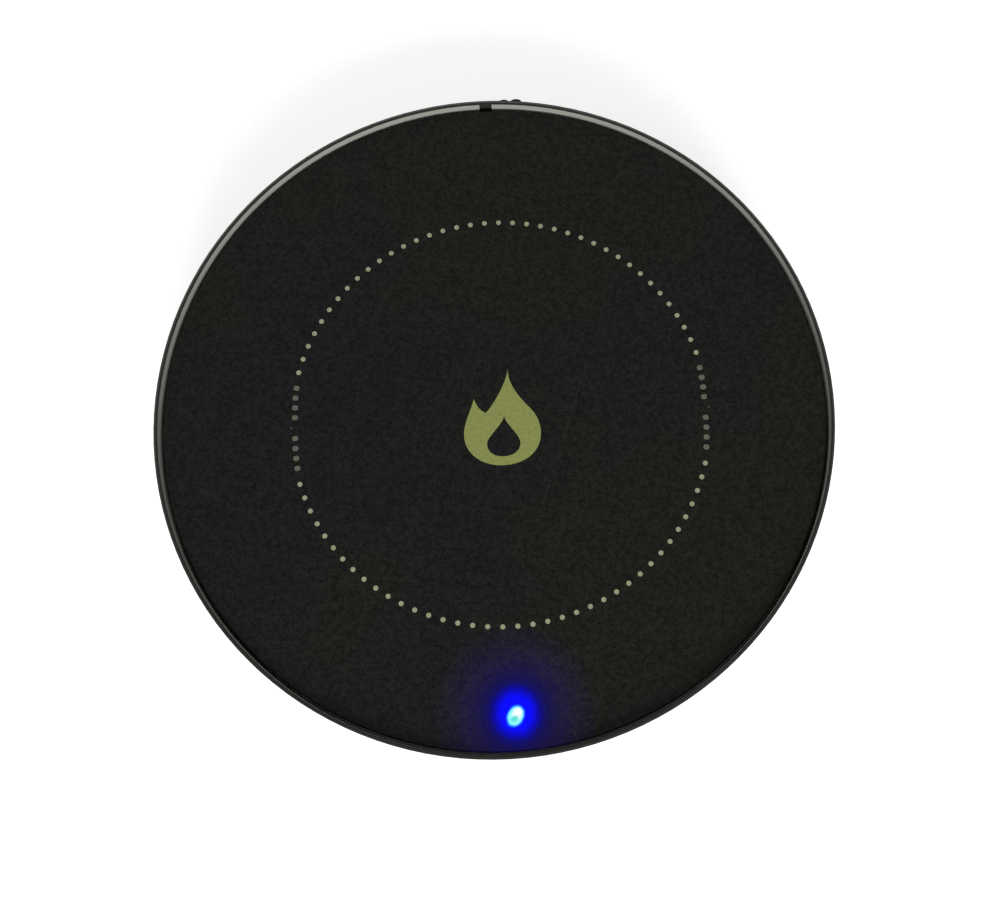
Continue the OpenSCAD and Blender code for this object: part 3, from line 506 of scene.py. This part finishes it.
silver.set(Base_Color=silver.blend(masked_top, silver.blend(bare, painted, BARE_BLACK), LIP_TOP),
           Specular_IOR_Level=0.15,
           Metallic=silver.between(bare, 0.0, 1.0, PAINT_METAL, 0.0),
           Roughness=silver.maths("ADD", silver.between(bare, 0.0, 1.0, 0.34, 0.5),
                                  silver.between(silver.grain(0.8), 0.3, 0.7, -0.04, 0.04)))
silver.bump(silver.grain(1.3, detail=1), 0.0018)
silver.bump(silver.cells(FLAKE), 0.0006)
dress(silver, "upper_frame")

# %% [markdown]
# ## Bright strip
# A strip of thin sheet lines the lip. Rolling leaves fine lines along its length, so the grain is
# stretched round the warmer and squeezed upwards, and it drives roughness, bump and a slight tone.
# The sheared upper edge is dark and has no shine, and the face's direction finds it.

# %% Roll the strip
STRIP = (0.34, 0.34, 0.305)
STRIP_METAL = 0.10
CUT_EDGE = (0.032, 0.032, 0.029)

strip = Finish("bright_trim", STRIP, metal=STRIP_METAL, rough=0.45)
rolled = strip.grain(0.07, detail=3, stretch=(120, 1, 1), at=strip.around())
satin = strip.blend(strip.between(rolled, 0.3, 0.7), shade(STRIP, 0.85), shade(STRIP, 1.12))
# Dark and dull wherever the strip's edge faces up.
cut_edge = strip.between(strip.faces("Z"), 0.4, 0.8)
strip.set(Base_Color=strip.blend(cut_edge, satin, CUT_EDGE), Specular_IOR_Level=0.2,
          Metallic=strip.between(cut_edge, 0.0, 1.0, STRIP_METAL, 0.0),
          Roughness=strip.between(rolled, 0.3, 0.7, 0.40, 0.52))
strip.bump(rolled, 0.002)
dress(strip, "trim_strip")

# %% [markdown]
# ## Moulded black plastics
# The base is moulded in a tool with a spark-eroded skin, which gives it a fine dull leather. The
# carrier is a glassier nylon that takes the heat, with short pale fibres just below its skin. The
# small housings are plain and a little shinier. One recipe does them all, with other numbers for
# each, and it serves a few coloured plastics too.

# %% Mould the plastics
def moulded(name, colour, rough, skin_size, skin_depth, fibre=0.0):
    """A moulded plastic: skin_size and skin_depth are its texture in millimetres."""
    made = Finish(name, colour, rough=rough)
    mottle = made.between(made.grain(6.0, detail=4), 0.3, 0.7)
    tone = made.blend(mottle, shade(colour, 0.88), shade(colour, 1.14))
    if fibre:
        strand = made.between(made.grain(0.3, detail=1, stretch=(5, 1, 1), twist=1.5), 0.68, 0.74)
        tone = made.blend(made.maths("MULTIPLY", strand, fibre), tone, shade(colour, 6))
    made.set(Base_Color=tone,
             Roughness=made.between(made.grain(1.6), 0.3, 0.7, rough - 0.03, rough + 0.05))
    made.bump(made.grain(skin_size, detail=3), skin_depth)
    return made


base_plastic = moulded("base_plastic", (0.011, 0.011, 0.0115), 0.54, 0.30, 0.014)
dress(base_plastic, "base_shell")
carrier_nylon = moulded("carrier_nylon", (0.018, 0.018, 0.018), 0.44, 0.5, 0.004, fibre=0.5)
dress(carrier_nylon, "plate_carrier")
housing_plastic = moulded("housing_plastic", (0.015, 0.015, 0.016), 0.38, 0.3, 0.003)
dress(housing_plastic, "switch_body", "light_spacer")
dress(moulded("red_plastic", (0.42, 0.020, 0.014), 0.34, 0.4, 0.003), "switch_plunger")
dress(moulded("green_plastic", (0.035, 0.22, 0.075), 0.4, 0.4, 0.003), "cord_terminal")
nylon = moulded("natural_nylon", (0.62, 0.60, 0.52), 0.42, 0.4, 0.003)
nylon.set(Subsurface_Weight=0.15, Subsurface_Radius=(0.002, 0.0018, 0.0014), Subsurface_Scale=0.4)
dress(nylon, "cord_clamp")

# %% [markdown]
# ## Rubber
# The feet are soft rubber with a chalky bloom, which is rougher than the rubber itself. Where a
# foot meets the table dust sits in it, so its lowest third of a millimetre is greyer. The gland is
# moulded from a blacker rubber and has the recipe of the plastics. The seal that holds the glass
# is a grey silicone, a little cloudy.

# %% Mould the rubber
RUBBER = (0.016, 0.016, 0.017)

rubber = Finish("soft_rubber", RUBBER, rough=0.72)
bloom = rubber.between(rubber.grain(3.0, detail=5), 0.45, 0.75)
dust = rubber.maths("MULTIPLY", rubber.between(rubber.axis("Z"), 0.35, 0.0),
                    rubber.between(rubber.grain(0.9, detail=5), 0.4, 0.7))
tone = rubber.blend(bloom, RUBBER, shade(RUBBER, 2.2))
rubber.set(Base_Color=rubber.blend(rubber.maths("MULTIPLY", dust, 0.6), tone, (0.085, 0.08, 0.072)),
           Roughness=rubber.between(bloom, 0.0, 1.0, 0.66, 0.8), Specular_IOR_Level=0.35)
rubber.bump(rubber.grain(0.12, detail=2), 0.003)
dress(rubber, "rubber_feet")

gland = moulded("gland_rubber", (0.0065, 0.0065, 0.0068), 0.6, 0.2, 0.006)
gland.set(Specular_IOR_Level=0.12)
dress(gland, "cord_gland")

seal = Finish("grey_silicone", (0.10, 0.10, 0.098), rough=0.62)
seal.set(Base_Color=seal.blend(seal.between(seal.grain(4.0, detail=4), 0.3, 0.7),
                               (0.075, 0.075, 0.074), (0.13, 0.13, 0.127)))
seal.bump(seal.grain(0.25), 0.004)
dress(seal, "glass_seal")

# %% [markdown]
# ## Metals
# Screws are zinc plated, the thermal fuse and the switch's terminals are brass, springs are drawn
# wire, the shield is galvanised sheet with its crystal spangle, the spreader is turned aluminium
# with rings from the lathe, and the heater is etched steel foil that has started to straw with
# heat. One grey for all would look like paint, so each has its own tone, grain and lines.

# %% Turn, draw and plate the metals
def bright_metal(name, colour, rough, grain_size, grain_depth, stretch=(1, 1, 1)):
    """A plain metal with cloudy tone, cloudy roughness and a fine grain."""
    made = Finish(name, colour, metal=1.0, rough=rough)
    cloud = made.between(made.grain(1.6, detail=4), 0.3, 0.7)
    made.set(Base_Color=made.blend(cloud, shade(colour, 0.72), shade(colour, 1.12)),
             Roughness=made.between(made.grain(0.5, detail=3), 0.3, 0.7, rough - 0.07, rough + 0.1))
    made.bump(made.grain(grain_size, detail=2, stretch=stretch), grain_depth)
    return made


dress(bright_metal("zinc_plate", (0.56, 0.57, 0.55), 0.30, 0.2, 0.003), "housing_screws",
      "clamp_screws", "board_screws", "shield_screws", "stop_screws", "stop_washers")
dress(bright_metal("brass", (0.66, 0.46, 0.20), 0.27, 0.3, 0.003),
      "thermal_fuse", "switch_terminals")
spring_wire = bright_metal("spring_wire", (0.30, 0.29, 0.28), 0.30, 0.05, 0.002)

spangled = Finish("galvanised_sheet", (0.50, 0.51, 0.52), metal=1.0, rough=0.36)
crystal = spangled.tree.nodes.new("ShaderNodeSeparateColor")
spangled.join(spangled.cells(3.4, output="Color"), crystal.inputs[0])
spangled.set(Base_Color=spangled.blend(crystal.outputs[0], (0.40, 0.41, 0.42), (0.60, 0.61, 0.62)),
             Roughness=spangled.between(crystal.outputs[1], 0.0, 1.0, 0.28, 0.48))
spangled.bump(spangled.grain(0.3), 0.003)
dress(spangled, "heat_shield", "sensor_clip")

turned = Finish("turned_aluminium", (0.72, 0.72, 0.71), metal=1.0, rough=0.3)
TOOL_FEED = 0.22
rings = turned.maths("SINE", turned.maths("MULTIPLY", turned.radius(), 2 * math.pi / TOOL_FEED))
turned.set(Base_Color=turned.blend(turned.between(turned.grain(8.0, detail=4), 0.3, 0.7),
                                   (0.60, 0.60, 0.59), (0.78, 0.78, 0.77)),
           Roughness=turned.between(turned.grain(1.2), 0.3, 0.7, 0.26, 0.4))
turned.bump(rings, 0.004)
dress(turned, "heat_spreader")

foil = Finish("heater_foil", (0.52, 0.50, 0.47), metal=1.0, rough=0.3)
heat = foil.maths("ADD", foil.grain(7.0, detail=3), foil.between(foil.radius(), 0, 40, 0.0, 0.2))
tint = foil.between(heat, 0.45, 0.8)
foil.set(Base_Color=foil.blend(tint, (0.56, 0.54, 0.51), (0.46, 0.34, 0.20)),
         Roughness=foil.between(foil.grain(0.6), 0.3, 0.7, 0.24, 0.38))
foil.bump(foil.grain(0.09, detail=2), 0.002)
dress(foil, "heater_ribbon")

# %% [markdown]
# ## Mica and felt
# Mica sheet is pressed from flakes: amber scales of several tones that overlap, with a pearly
# shine. The felt under the heater is ceramic fibre, a mat of fine pale strands. Two noises that are
# stretched across each other and twisted give the strands, and a soft sheen gives the fluff.

# %% Press the mica, lay the felt
mica = Finish("pressed_mica", (0.42, 0.31, 0.17), rough=0.3)
scale = mica.tree.nodes.new("ShaderNodeSeparateColor")
mica.join(mica.cells(2.6, output="Color"), scale.inputs[0])
veined = mica.blend(scale.outputs[0], (0.30, 0.21, 0.11), (0.55, 0.43, 0.27))
flecks = mica.between(mica.grain(0.7, detail=4), 0.55, 0.7)
mica.set(Base_Color=mica.blend(flecks, veined, (0.66, 0.56, 0.40)),
         Roughness=mica.between(scale.outputs[1], 0.0, 1.0, 0.2, 0.45),
         Coat_Weight=0.35, Coat_Roughness=0.2)
mica.bump(mica.cells(2.6), 0.01)
dress(mica, "upper_mica", "lower_mica")

felt = Finish("ceramic_felt", (0.66, 0.64, 0.59), rough=0.95)
strands = felt.maths("MAXIMUM", felt.grain(0.16, detail=2, stretch=(9, 1, 1), twist=1.2),
                     felt.grain(0.16, detail=2, stretch=(1, 9, 1), twist=1.2))
fluff = felt.between(strands, 0.4, 0.7)
felt.set(Base_Color=felt.blend(fluff, (0.46, 0.44, 0.40), (0.76, 0.74, 0.69)),
         Sheen_Weight=0.35, Sheen_Roughness=0.5, Specular_IOR_Level=0.2)
felt.bump(strands, 0.06)
dress(felt, "insulation_felt")

# %% [markdown]
# ## Circuit boards and their parts
# A board is glass cloth and resin under a green lacquer. Copper below the lacquer shows as a
# lighter green: thin runs that change direction from field to field, some filled fields, and
# tinned pads with a drilled hole on the usual pitch of 2.54 mm. The sawn edge has no lacquer
# and shows the tan cloth, which the face's direction picks out. The large capacitor, the fuse, the
# chips and the resistors come in one piece with their caps, legs and tinned ends, so how far along
# the part a point lies tells these from the rest.

# %% Etch the boards
board = Finish("green_board", (0.010, 0.085, 0.032), rough=0.32)


def tracks(turn, width, row, line):
    """Copper lines under the lacquer: runs of width millimetres in rows, turned by turn degrees."""
    a = math.radians(turn)
    along, aside = (math.cos(a), math.sin(a), 0), (-math.sin(a), math.cos(a), 0)
    flat = board.tree.nodes.new("ShaderNodeCombineXYZ")
    board.join(board.vector("DOT_PRODUCT", board.mm, along), flat.inputs[0])
    board.join(board.vector("DOT_PRODUCT", board.mm, aside), flat.inputs[1])
    node = board.tree.nodes.new("ShaderNodeTexBrick")
    board.join(flat.outputs[0], node.inputs["Vector"])
    node.offset, node.squash, node.squash_frequency = 0.37, 0.6, 3
    lengths = {"Scale": 1.0, "Brick Width": width, "Row Height": row,
               "Mortar Size": line, "Mortar Smooth": 0.1}
    for socket, number in lengths.items():
        node.inputs[socket].default_value = number
    return node.outputs["Fac"]


FIELD = 6.5
PAD_PITCH, PAD_R, HOLE_R = 2.54, 0.42, 0.20
field = board.tree.nodes.new("ShaderNodeSeparateColor")
board.join(board.cells(FIELD, output="Color"), field.inputs[0])
pour = board.between(field.outputs[2], 0.70, 0.72)
copper = board.tree.nodes.new("ShaderNodeMix")
board.join(board.between(field.outputs[0], 0.49, 0.51), copper.inputs[0])
board.join(tracks(0, 7.4, 0.95, 0.17), copper.inputs[2])
board.join(tracks(90, 6.2, 0.95, 0.17), copper.inputs[3])
copper = board.maths("MAXIMUM", copper.outputs[0], pour)
half_way = board.vector("ADD", board.mm, (PAD_PITCH / 2, PAD_PITCH / 2, 0))
pad_cell = board.vector("SNAP", half_way, (PAD_PITCH,) * 3)
pad_offset = board.vector("MULTIPLY", board.vector("SUBTRACT", board.mm, pad_cell), (1, 1, 0))
kept = board.tree.nodes.new("ShaderNodeTexWhiteNoise")
board.join(board.vector("MULTIPLY", pad_cell, (1, 1, 0)), kept.inputs["Vector"])
from_pad = board.vector("LENGTH", pad_offset)
pad = board.maths("MULTIPLY", board.between(from_pad, PAD_R, PAD_R - 0.08),
                  board.between(kept.outputs["Value"], 0.69, 0.70))
hole = board.between(from_pad, HOLE_R, HOLE_R - 0.06)
lacquer = board.blend(copper, (0.009, 0.075, 0.028), (0.030, 0.150, 0.055))
tinned_pad = board.blend(hole, (0.55, 0.54, 0.50), (0.02, 0.02, 0.018))
weave = board.maths("MULTIPLY", board.maths("SINE", board.maths("MULTIPLY", board.axis("X"), 12.0)),
                    board.maths("SINE", board.maths("MULTIPLY", board.axis("Y"), 12.0)))
sawn = board.between(board.maths("ABSOLUTE", board.faces("Z")), 0.6, 0.4)
threads = board.between(board.grain(0.15, stretch=(8, 8, 1)), 0.35, 0.65)
cloth = board.blend(threads, (0.36, 0.29, 0.13), (0.55, 0.47, 0.26))
flat_pad = board.maths("MULTIPLY", pad, board.between(sawn, 1.0, 0.0))
board.set(Base_Color=board.blend(sawn, board.blend(pad, lacquer, tinned_pad), cloth),
          Metallic=board.maths("MULTIPLY", flat_pad, board.between(hole, 0.0, 1.0, 0.9, 0.0)),
          Roughness=board.between(sawn, 0.0, 1.0, 0.3, 0.75))
board.bump(copper, 0.02)
board.bump(weave, 0.002)
dress(board, "control_board", "light_board", "switch_board")

# %% Finish the parts on the boards
resin = moulded("brown_resin", (0.16, 0.055, 0.022), 0.22, 0.9, 0.01)
resin.set(Coat_Weight=0.5, Coat_Roughness=0.12)
dress(resin, "film_capacitor", "temperature_sensor")

sleeve = Finish("blue_sleeve", (0.02, 0.05, 0.22), rough=0.3)
low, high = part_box("smoothing_capacitor")
END_DEPTH = 0.35
can_end = sleeve.ends("X", low.x / MM + END_DEPTH, high.x / MM - END_DEPTH, END_DEPTH * 0.1)
stripe = sleeve.between(sleeve.faces("Y"), 0.55, 0.62)
printed = sleeve.blend(stripe, (0.018, 0.045, 0.20), (0.50, 0.52, 0.55))
sleeve.set(Base_Color=sleeve.blend(can_end, printed, (0.62, 0.62, 0.62)), Metallic=can_end,
           Roughness=sleeve.between(sleeve.grain(0.8), 0.3, 0.7, 0.24, 0.38))
sleeve.bump(sleeve.grain(1.2, detail=2), 0.01)
dress(sleeve, "smoothing_capacitor")

fuse = Finish("fuse_glass", (0.80, 0.84, 0.82), rough=0.1)
low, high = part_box("board_fuse")
CAP_LENGTH = 1.5
cap = fuse.ends("Y", low.y / MM + CAP_LENGTH, high.y / MM - CAP_LENGTH, 0.1)
fuse.set(Base_Color=fuse.blend(cap, (0.80, 0.84, 0.82), (0.60, 0.58, 0.52)), Metallic=cap,
         Roughness=fuse.between(fuse.grain(0.6), 0.3, 0.7, 0.08, 0.2),
         Transmission_Weight=fuse.between(cap, 0.0, 1.0, 0.9, 0.0))
fuse.bump(fuse.grain(0.8), 0.004)
dress(fuse, "board_fuse")

TINNED = (0.62, 0.62, 0.60)


def leaded(name, node, front_leg, rear_leg):
    """Resin with bright legs: how far the legs reach past the body in front and at the rear."""
    made = moulded(name, (0.020, 0.020, 0.021), 0.6, 0.08, 0.003)
    low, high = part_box(node)
    legs = made.ends("Y", low.y / MM + front_leg, high.y / MM - rear_leg, 0.03)
    resin_tone = made.skin.inputs["Base Color"].links[0].from_socket
    resin_skin = made.skin.inputs["Roughness"].links[0].from_socket
    made.set(Base_Color=made.blend(legs, resin_tone, TINNED), Metallic=legs,
             Roughness=made.maths("MULTIPLY", resin_skin, made.between(legs, 0.0, 1.0, 1.0, 0.6)))
    dress(made, node)


leaded("drive_chip_resin", "drive_chip", 1.0, 1.0)
leaded("triac_resin", "triac", 2.4, 0.0)

chips = Finish("resistor_chips", (0.02, 0.022, 0.03), rough=0.4)
low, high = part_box("resistors")
chip_middle = (low.y + high.y) / 2 / MM
CHIP_BODY = 0.62
tinned = chips.ends("Y", chip_middle - CHIP_BODY, chip_middle + CHIP_BODY, 0.06)
chips.set(Base_Color=chips.blend(tinned, (0.018, 0.020, 0.028), (0.66, 0.66, 0.64)),
          Metallic=tinned, Roughness=chips.between(chips.grain(0.3), 0.3, 0.7, 0.3, 0.5))
chips.bump(chips.grain(0.2), 0.004)
dress(chips, "resistors")

# %% [markdown]
# ## The light and its guide
# The lamp is a clear dome of blue epoxy that glows from inside, and above it a short rod of clear
# acrylic carries the light up to the glass. Both are made see-through, and only the lamp gives off
# light.

# %% Cast the clear parts
lamp_glow = Finish("blue_light", (0.30, 0.48, 0.95), rough=0.12)
lamp_glow.set(Transmission_Weight=0.7, Emission_Color=(0.10, 0.25, 1.0),
              Emission_Strength=lamp_glow.between(lamp_glow.axis("Z"), 6.5, 10.5, 0.1, 1.2))
lamp_glow.bump(lamp_glow.grain(0.8), 0.002)
dress(lamp_glow, "indicator_light")

acrylic = Finish("clear_acrylic", (0.90, 0.94, 0.98), rough=0.08)
acrylic.set(Transmission_Weight=1.0,
            Roughness=acrylic.between(acrylic.grain(0.9), 0.3, 0.7, 0.05, 0.14))
acrylic.bump(acrylic.grain(0.6), 0.002)
dress(acrylic, "light_guide")

# %% [markdown]
# ## Print on the glass
# The glass carries a ring of dots, a row of short marks at each side and a flame in the middle,
# screen printed in olive enamel that stands two hundredths of a millimetre proud. A texture could
# carry the print, but thin closed bodies, a little sunk in the glass, keep sharp edges from close
# by. The print sits off the disc's centre by a little over a millimetre, as hand-fed printing does,
# and that shift is kept as a value of its own.

# %% Mix the enamel
PRINT_X, PRINT_Y = 0.892, -0.855
PRINT_R = 37.04
INK_PROUD = 0.02
INK_SUNK = 0.02
INK_THICK = INK_PROUD + INK_SUNK
GLASS_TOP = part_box("top_glass")[1].z / MM


def enamel(name, colour):
    """Fired ink: fine pinholes, an uneven tone and a low sheen."""
    made = Finish(name, colour, rough=0.5)
    pinhole = made.between(made.grain(0.13, detail=2), 0.64, 0.72)
    uneven = made.between(made.grain(0.6, detail=4), 0.3, 0.7)
    tone = made.blend(uneven, shade(colour, 0.86), shade(colour, 1.12))
    made.set(Base_Color=made.blend(made.maths("MULTIPLY", pinhole, 0.5), tone, shade(colour, 0.45)),
             Roughness=made.between(made.grain(0.4), 0.3, 0.7, 0.45, 0.62), Specular_IOR_Level=0.2)
    made.bump(made.grain(0.2), 0.003)
    return made


olive_ink = enamel("olive_enamel", (0.232, 0.258, 0.078))
pale_ink = enamel("pale_enamel", (0.286, 0.309, 0.191))
faint_ink = enamel("faint_enamel", (0.108, 0.112, 0.083))


def keep_piece(name, shape, finish, body):
    """Makes an object from a finished bmesh and tells the frame what it rides on."""
    mesh = bpy.data.meshes.new(name)
    shape.to_mesh(mesh)
    shape.free()
    mesh.materials.append(finish.material)
    piece = bpy.data.objects.new(name, mesh)
    bpy.context.scene.collection.objects.link(piece)
    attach(piece, body)
    print(name, len(mesh.polygons), "faces")
    return piece


def edges_of(verts):
    """The edges that meet the given corners, each once and always in the same order."""
    return list(dict.fromkeys(e for v in verts for e in v.link_edges))


def print_place(angle, radius=PRINT_R):
    """The point of the print at an angle in degrees, in millimetres."""
    a = math.radians(angle)
    return PRINT_X + radius * math.cos(a), PRINT_Y + radius * math.sin(a)


def ink_dot(shape, x, y, radius, segments, taper=1.0):
    """A flat disc of ink at x, y, narrower on top where taper is below 1."""
    middle = GLASS_TOP + (INK_PROUD - INK_SUNK) / 2
    bmesh.ops.create_cone(shape, cap_ends=True, segments=segments, radius1=radius * MM,
                          radius2=radius * taper * MM, depth=INK_THICK * MM,
                          matrix=Matrix.Translation(Vector((x, y, middle)) * MM))


print("glass top at", round(GLASS_TOP, 2), "mm")

# %% Print the dotted ring
DOT_R = 0.45
DOT_PITCH = 4.0
DOTS_IN_ARC = 38
FIRST_DOT = 16.0

shape = bmesh.new()
for side in (0, 180):
    for i in range(DOTS_IN_ARC):
        x, y = print_place(side + FIRST_DOT + i * DOT_PITCH)
        ink_dot(shape, x, y, DOT_R, segments=20, taper=0.97)
keep_piece("dotted_ring", shape, pale_ink, "hot_plate")

# %% Print the short marks at the sides
MARK_R = 36.40
MARK_DRIFT = 0.12
MARK_PITCH = 2.83
MARK_START = 3.0
MARK_LONG, MARK_WIDE, MARK_ROUND = 1.02, 0.90, 0.32
POINT_R = 0.14

shape = bmesh.new()
for side in (0, 180):
    for way in (-1, 1):
        for i in range(4):
            angle = side + way * (MARK_START + i * MARK_PITCH)
            x, y = print_place(angle, MARK_R + i * MARK_DRIFT)
            size = Matrix.Diagonal((MARK_LONG * MM, MARK_WIDE * MM, INK_THICK * MM, 1))
            turned_mark = Matrix.Rotation(math.radians(angle), 4, "Z") @ size
            place = Matrix.Translation(Vector((x, y, GLASS_TOP)) * MM)
            new = bmesh.ops.create_cube(shape, size=1.0, matrix=place @ turned_mark)["verts"]
            upright = [e for e in edges_of(new)
                       if abs((e.verts[0].co - e.verts[1].co).z) > INK_PROUD * MM]
            bmesh.ops.bevel(shape, geom=upright, offset=MARK_ROUND * MM, segments=3, profile=0.5,
                            affect="EDGES", material=-1)
    ink_dot(shape, *print_place(side), POINT_R, segments=16)
keep_piece("side_marks", shape, faint_ink, "hot_plate")

# %% [markdown]
# ## The flame
# The flame in the middle is a plain sign for heat: a round-bottomed flame with a small tongue at
# its side and a drop-shaped gap. It is drawn as two closed outlines of curves, the second one
# inside the first for the gap, each point with the handles before and after it. The drawing is
# given the ink's thickness and made a mesh while it still lies at the origin. Only then is it
# moved to its place on the glass.

# %% Print the flame
FLAME_OUTSIDE = (
    ((1.7, 8.9), (1.3, 6.6), (1.4, 6.2)), ((5.3, 1.5), (3.6, 3.4), (6.5, 0.1)),
    ((7.0, -3.0), (7.0, -1.3), (7.0, -6.4)), ((0.2, -8.7), (4.2, -8.7), (-3.8, -8.7)),
    ((-6.6, -3.0), (-6.6, -6.2), (-6.6, -0.6)), ((-4.6, 3.7), (-5.2, 1.4), (-4.2, 2.2)),
    ((-2.5, 1.0), (-3.4, 1.2), (-0.6, 3.2)),
)
FLAME_GAP = (
    ((0.6, 0.3), (0.4, -1.4), (0.9, -1.4)), ((3.3, -4.7), (3.3, -3.2), (3.3, -6.2)),
    ((0.3, -7.1), (2.0, -7.1), (-1.5, -7.1)), ((-2.6, -4.7), (-2.6, -6.2), (-2.6, -3.3)),
)

drawing = bpy.data.curves.new("flame_drawing", "CURVE")
drawing.dimensions = "2D"
drawing.fill_mode = "BOTH"
drawing.resolution_u = 10
drawing.extrude = INK_THICK / 2 * MM
for outline in (FLAME_OUTSIDE, FLAME_GAP):
    line = drawing.splines.new("BEZIER")
    line.bezier_points.add(len(outline) - 1)
    line.use_cyclic_u = True
    for point, (at, before, after) in zip(line.bezier_points, outline):
        point.handle_left_type = point.handle_right_type = "FREE"
        point.co = Vector((*at, 0)) * MM
        point.handle_left = Vector((*before, 0)) * MM
        point.handle_right = Vector((*after, 0)) * MM
sketch = bpy.data.objects.new("flame_sketch", drawing)
bpy.context.scene.collection.objects.link(sketch)
flat_mesh = sketch.evaluated_get(bpy.context.evaluated_depsgraph_get()).to_mesh()
shape = bmesh.new()
shape.from_mesh(flat_mesh)
bpy.data.objects.remove(sketch)
bmesh.ops.remove_doubles(shape, verts=shape.verts, dist=0.001 * MM)
bmesh.ops.translate(shape, verts=shape.verts, vec=Vector((PRINT_X, PRINT_Y, GLASS_TOP)) * MM)
bmesh.ops.recalc_face_normals(shape, faces=shape.faces)
keep_piece("flame_mark", shape, olive_ink, "hot_plate")

# %% [markdown]
# ## Springs under the plate
# Four coil springs hold the plate up, so that the weight of a mug can press it down onto its
# switch. A coil is one circle of wire swept round a post while it climbs. Spin does that when it
# is given a climb for each step. The first and the last coil climb by the wire's thickness alone,
# as closed spring ends do, so each spring is three spins: a closed coil, the open turns, and a
# closed coil again. The springs ride on the base as one stiff piece, in place of the CAD springs.

# %% Coil the four springs
POST_CIRCLE = 50.0
POST_ANGLES = (45, 135, 225, 315)
SPRING_LOW, SPRING_HIGH = 9.3, 13.3
WIRE = 0.5
COIL_R = 2.95
STEPS = 28
END_TURNS, OPEN_TURNS = 0.8, 2.0

first_coil = SPRING_LOW + WIRE / 2
climb_end = WIRE * END_TURNS
climb_open = SPRING_HIGH - SPRING_LOW - WIRE - 2 * climb_end
shape = bmesh.new()
for angle in POST_ANGLES:
    a = math.radians(angle)
    post = Vector((POST_CIRCLE * math.cos(a), POST_CIRCLE * math.sin(a), first_coil)) * MM
    start = post + Vector((COIL_R * MM, 0, 0))
    upright = Matrix.Translation(start) @ Matrix.Rotation(math.pi / 2, 4, "X")
    wire_end = bmesh.ops.create_circle(shape, segments=12, radius=WIRE / 2 * MM, cap_ends=True,
                                       matrix=upright)["verts"]
    section = edges_of(wire_end)
    for turns, climb in ((END_TURNS, climb_end), (OPEN_TURNS, climb_open), (END_TURNS, climb_end)):
        steps = round(turns * STEPS)
        swept = bmesh.ops.spin(shape, geom=section, cent=post, axis=(0, 0, 1), steps=steps,
                               angle=turns * 2 * math.pi, dvec=(0, 0, climb * MM / steps),
                               use_merge=False)
        section = [g for g in swept["geom_last"] if isinstance(g, bmesh.types.BMEdge)]
    bmesh.ops.contextual_create(shape, geom=section)
bmesh.ops.recalc_face_normals(shape, faces=shape.faces)
for face in shape.faces:
    face.smooth = len(face.verts) == 4
springs = keep_piece("coil_springs", shape, spring_wire, "base")
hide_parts("return_springs")
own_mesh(springs)

# %% [markdown]
# ## Leads to the heater
# Two leads in red silicone climb from the board to the heater's pads with a step in the middle,
# which is the slack that lets the plate move. Each is a circle of lead pushed along its way:
# extrude for the straight runs, spin for the two quarter bends. Like the springs, they ride on the
# base as a stiff piece, in place of the CAD leads.

# %% Run the two leads
LEAD_R = 0.7
LEAD_BEND = 1.0
lead_low, lead_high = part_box("heater_leads")
lead_foot = lead_low.z / MM
lead_top = lead_high.z / MM
near_y = lead_low.y / MM + LEAD_R
far_y = lead_high.y / MM - LEAD_R
lead_places = (lead_low.x / MM + LEAD_R, lead_high.x / MM - LEAD_R)
STEP_Z = 9.1

silicone = Finish("lead_silicone", (0.40, 0.035, 0.022), rough=0.5)
silicone.set(Base_Color=silicone.blend(silicone.between(silicone.grain(1.5, detail=4), 0.3, 0.7),
                                       (0.33, 0.026, 0.018), (0.46, 0.045, 0.028)),
             Roughness=silicone.between(silicone.grain(0.5), 0.3, 0.7, 0.42, 0.6), Sheen_Weight=0.1)
silicone.bump(silicone.grain(0.3), 0.005)


def push(shape, section, along):
    """Extrudes the open section in a straight line and returns its new end."""
    out = bmesh.ops.extrude_edge_only(shape, edges=section)["geom"]
    corners = [g for g in out if isinstance(g, bmesh.types.BMVert)]
    bmesh.ops.translate(shape, verts=corners, vec=Vector(along) * MM)
    return [g for g in out if isinstance(g, bmesh.types.BMEdge) and all(v in out for v in g.verts)]


def bend(shape, section, centre, quarter):
    """Turns the open section by a quarter about an axis along X and returns its new end."""
    out = bmesh.ops.spin(shape, geom=section, cent=Vector(centre) * MM, axis=(1, 0, 0),
                         angle=quarter * math.pi / 2, dvec=(0, 0, 0), steps=8, use_merge=False)
    return [g for g in out["geom_last"] if isinstance(g, bmesh.types.BMEdge)]


shape = bmesh.new()
for x in lead_places:
    place = Matrix.Translation(Vector((x, near_y, lead_foot)) * MM)
    foot = bmesh.ops.create_circle(shape, segments=20, radius=LEAD_R * MM, cap_ends=True,
                                   matrix=place)["verts"]
    ring = edges_of(foot)
    ring = push(shape, ring, (0, 0, STEP_Z - LEAD_BEND - lead_foot))
    ring = bend(shape, ring, (x, near_y + LEAD_BEND, STEP_Z - LEAD_BEND), -1)
    ring = push(shape, ring, (0, far_y - near_y - 2 * LEAD_BEND, 0))
    ring = bend(shape, ring, (x, far_y - LEAD_BEND, STEP_Z + LEAD_BEND), 1)
    ring = push(shape, ring, (0, 0, lead_top - STEP_Z - LEAD_BEND))
    bmesh.ops.contextual_create(shape, geom=ring)
bmesh.ops.recalc_face_normals(shape, faces=shape.faces)
for face in shape.faces:
    face.smooth = len(face.verts) == 4
leads = keep_piece("silicone_leads", shape, silicone, "base")
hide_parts("heater_leads")
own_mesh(leads)

# %% [markdown]
# ## Last look
# The colours are shown as they are written, with no film look, and the size of the dressed
# warmer's box is printed.

# %% Finish
bpy.context.scene.view_settings.view_transform = "Standard"
low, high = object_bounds()
print("dressed box in mm:", sides_in_mm(low, high))
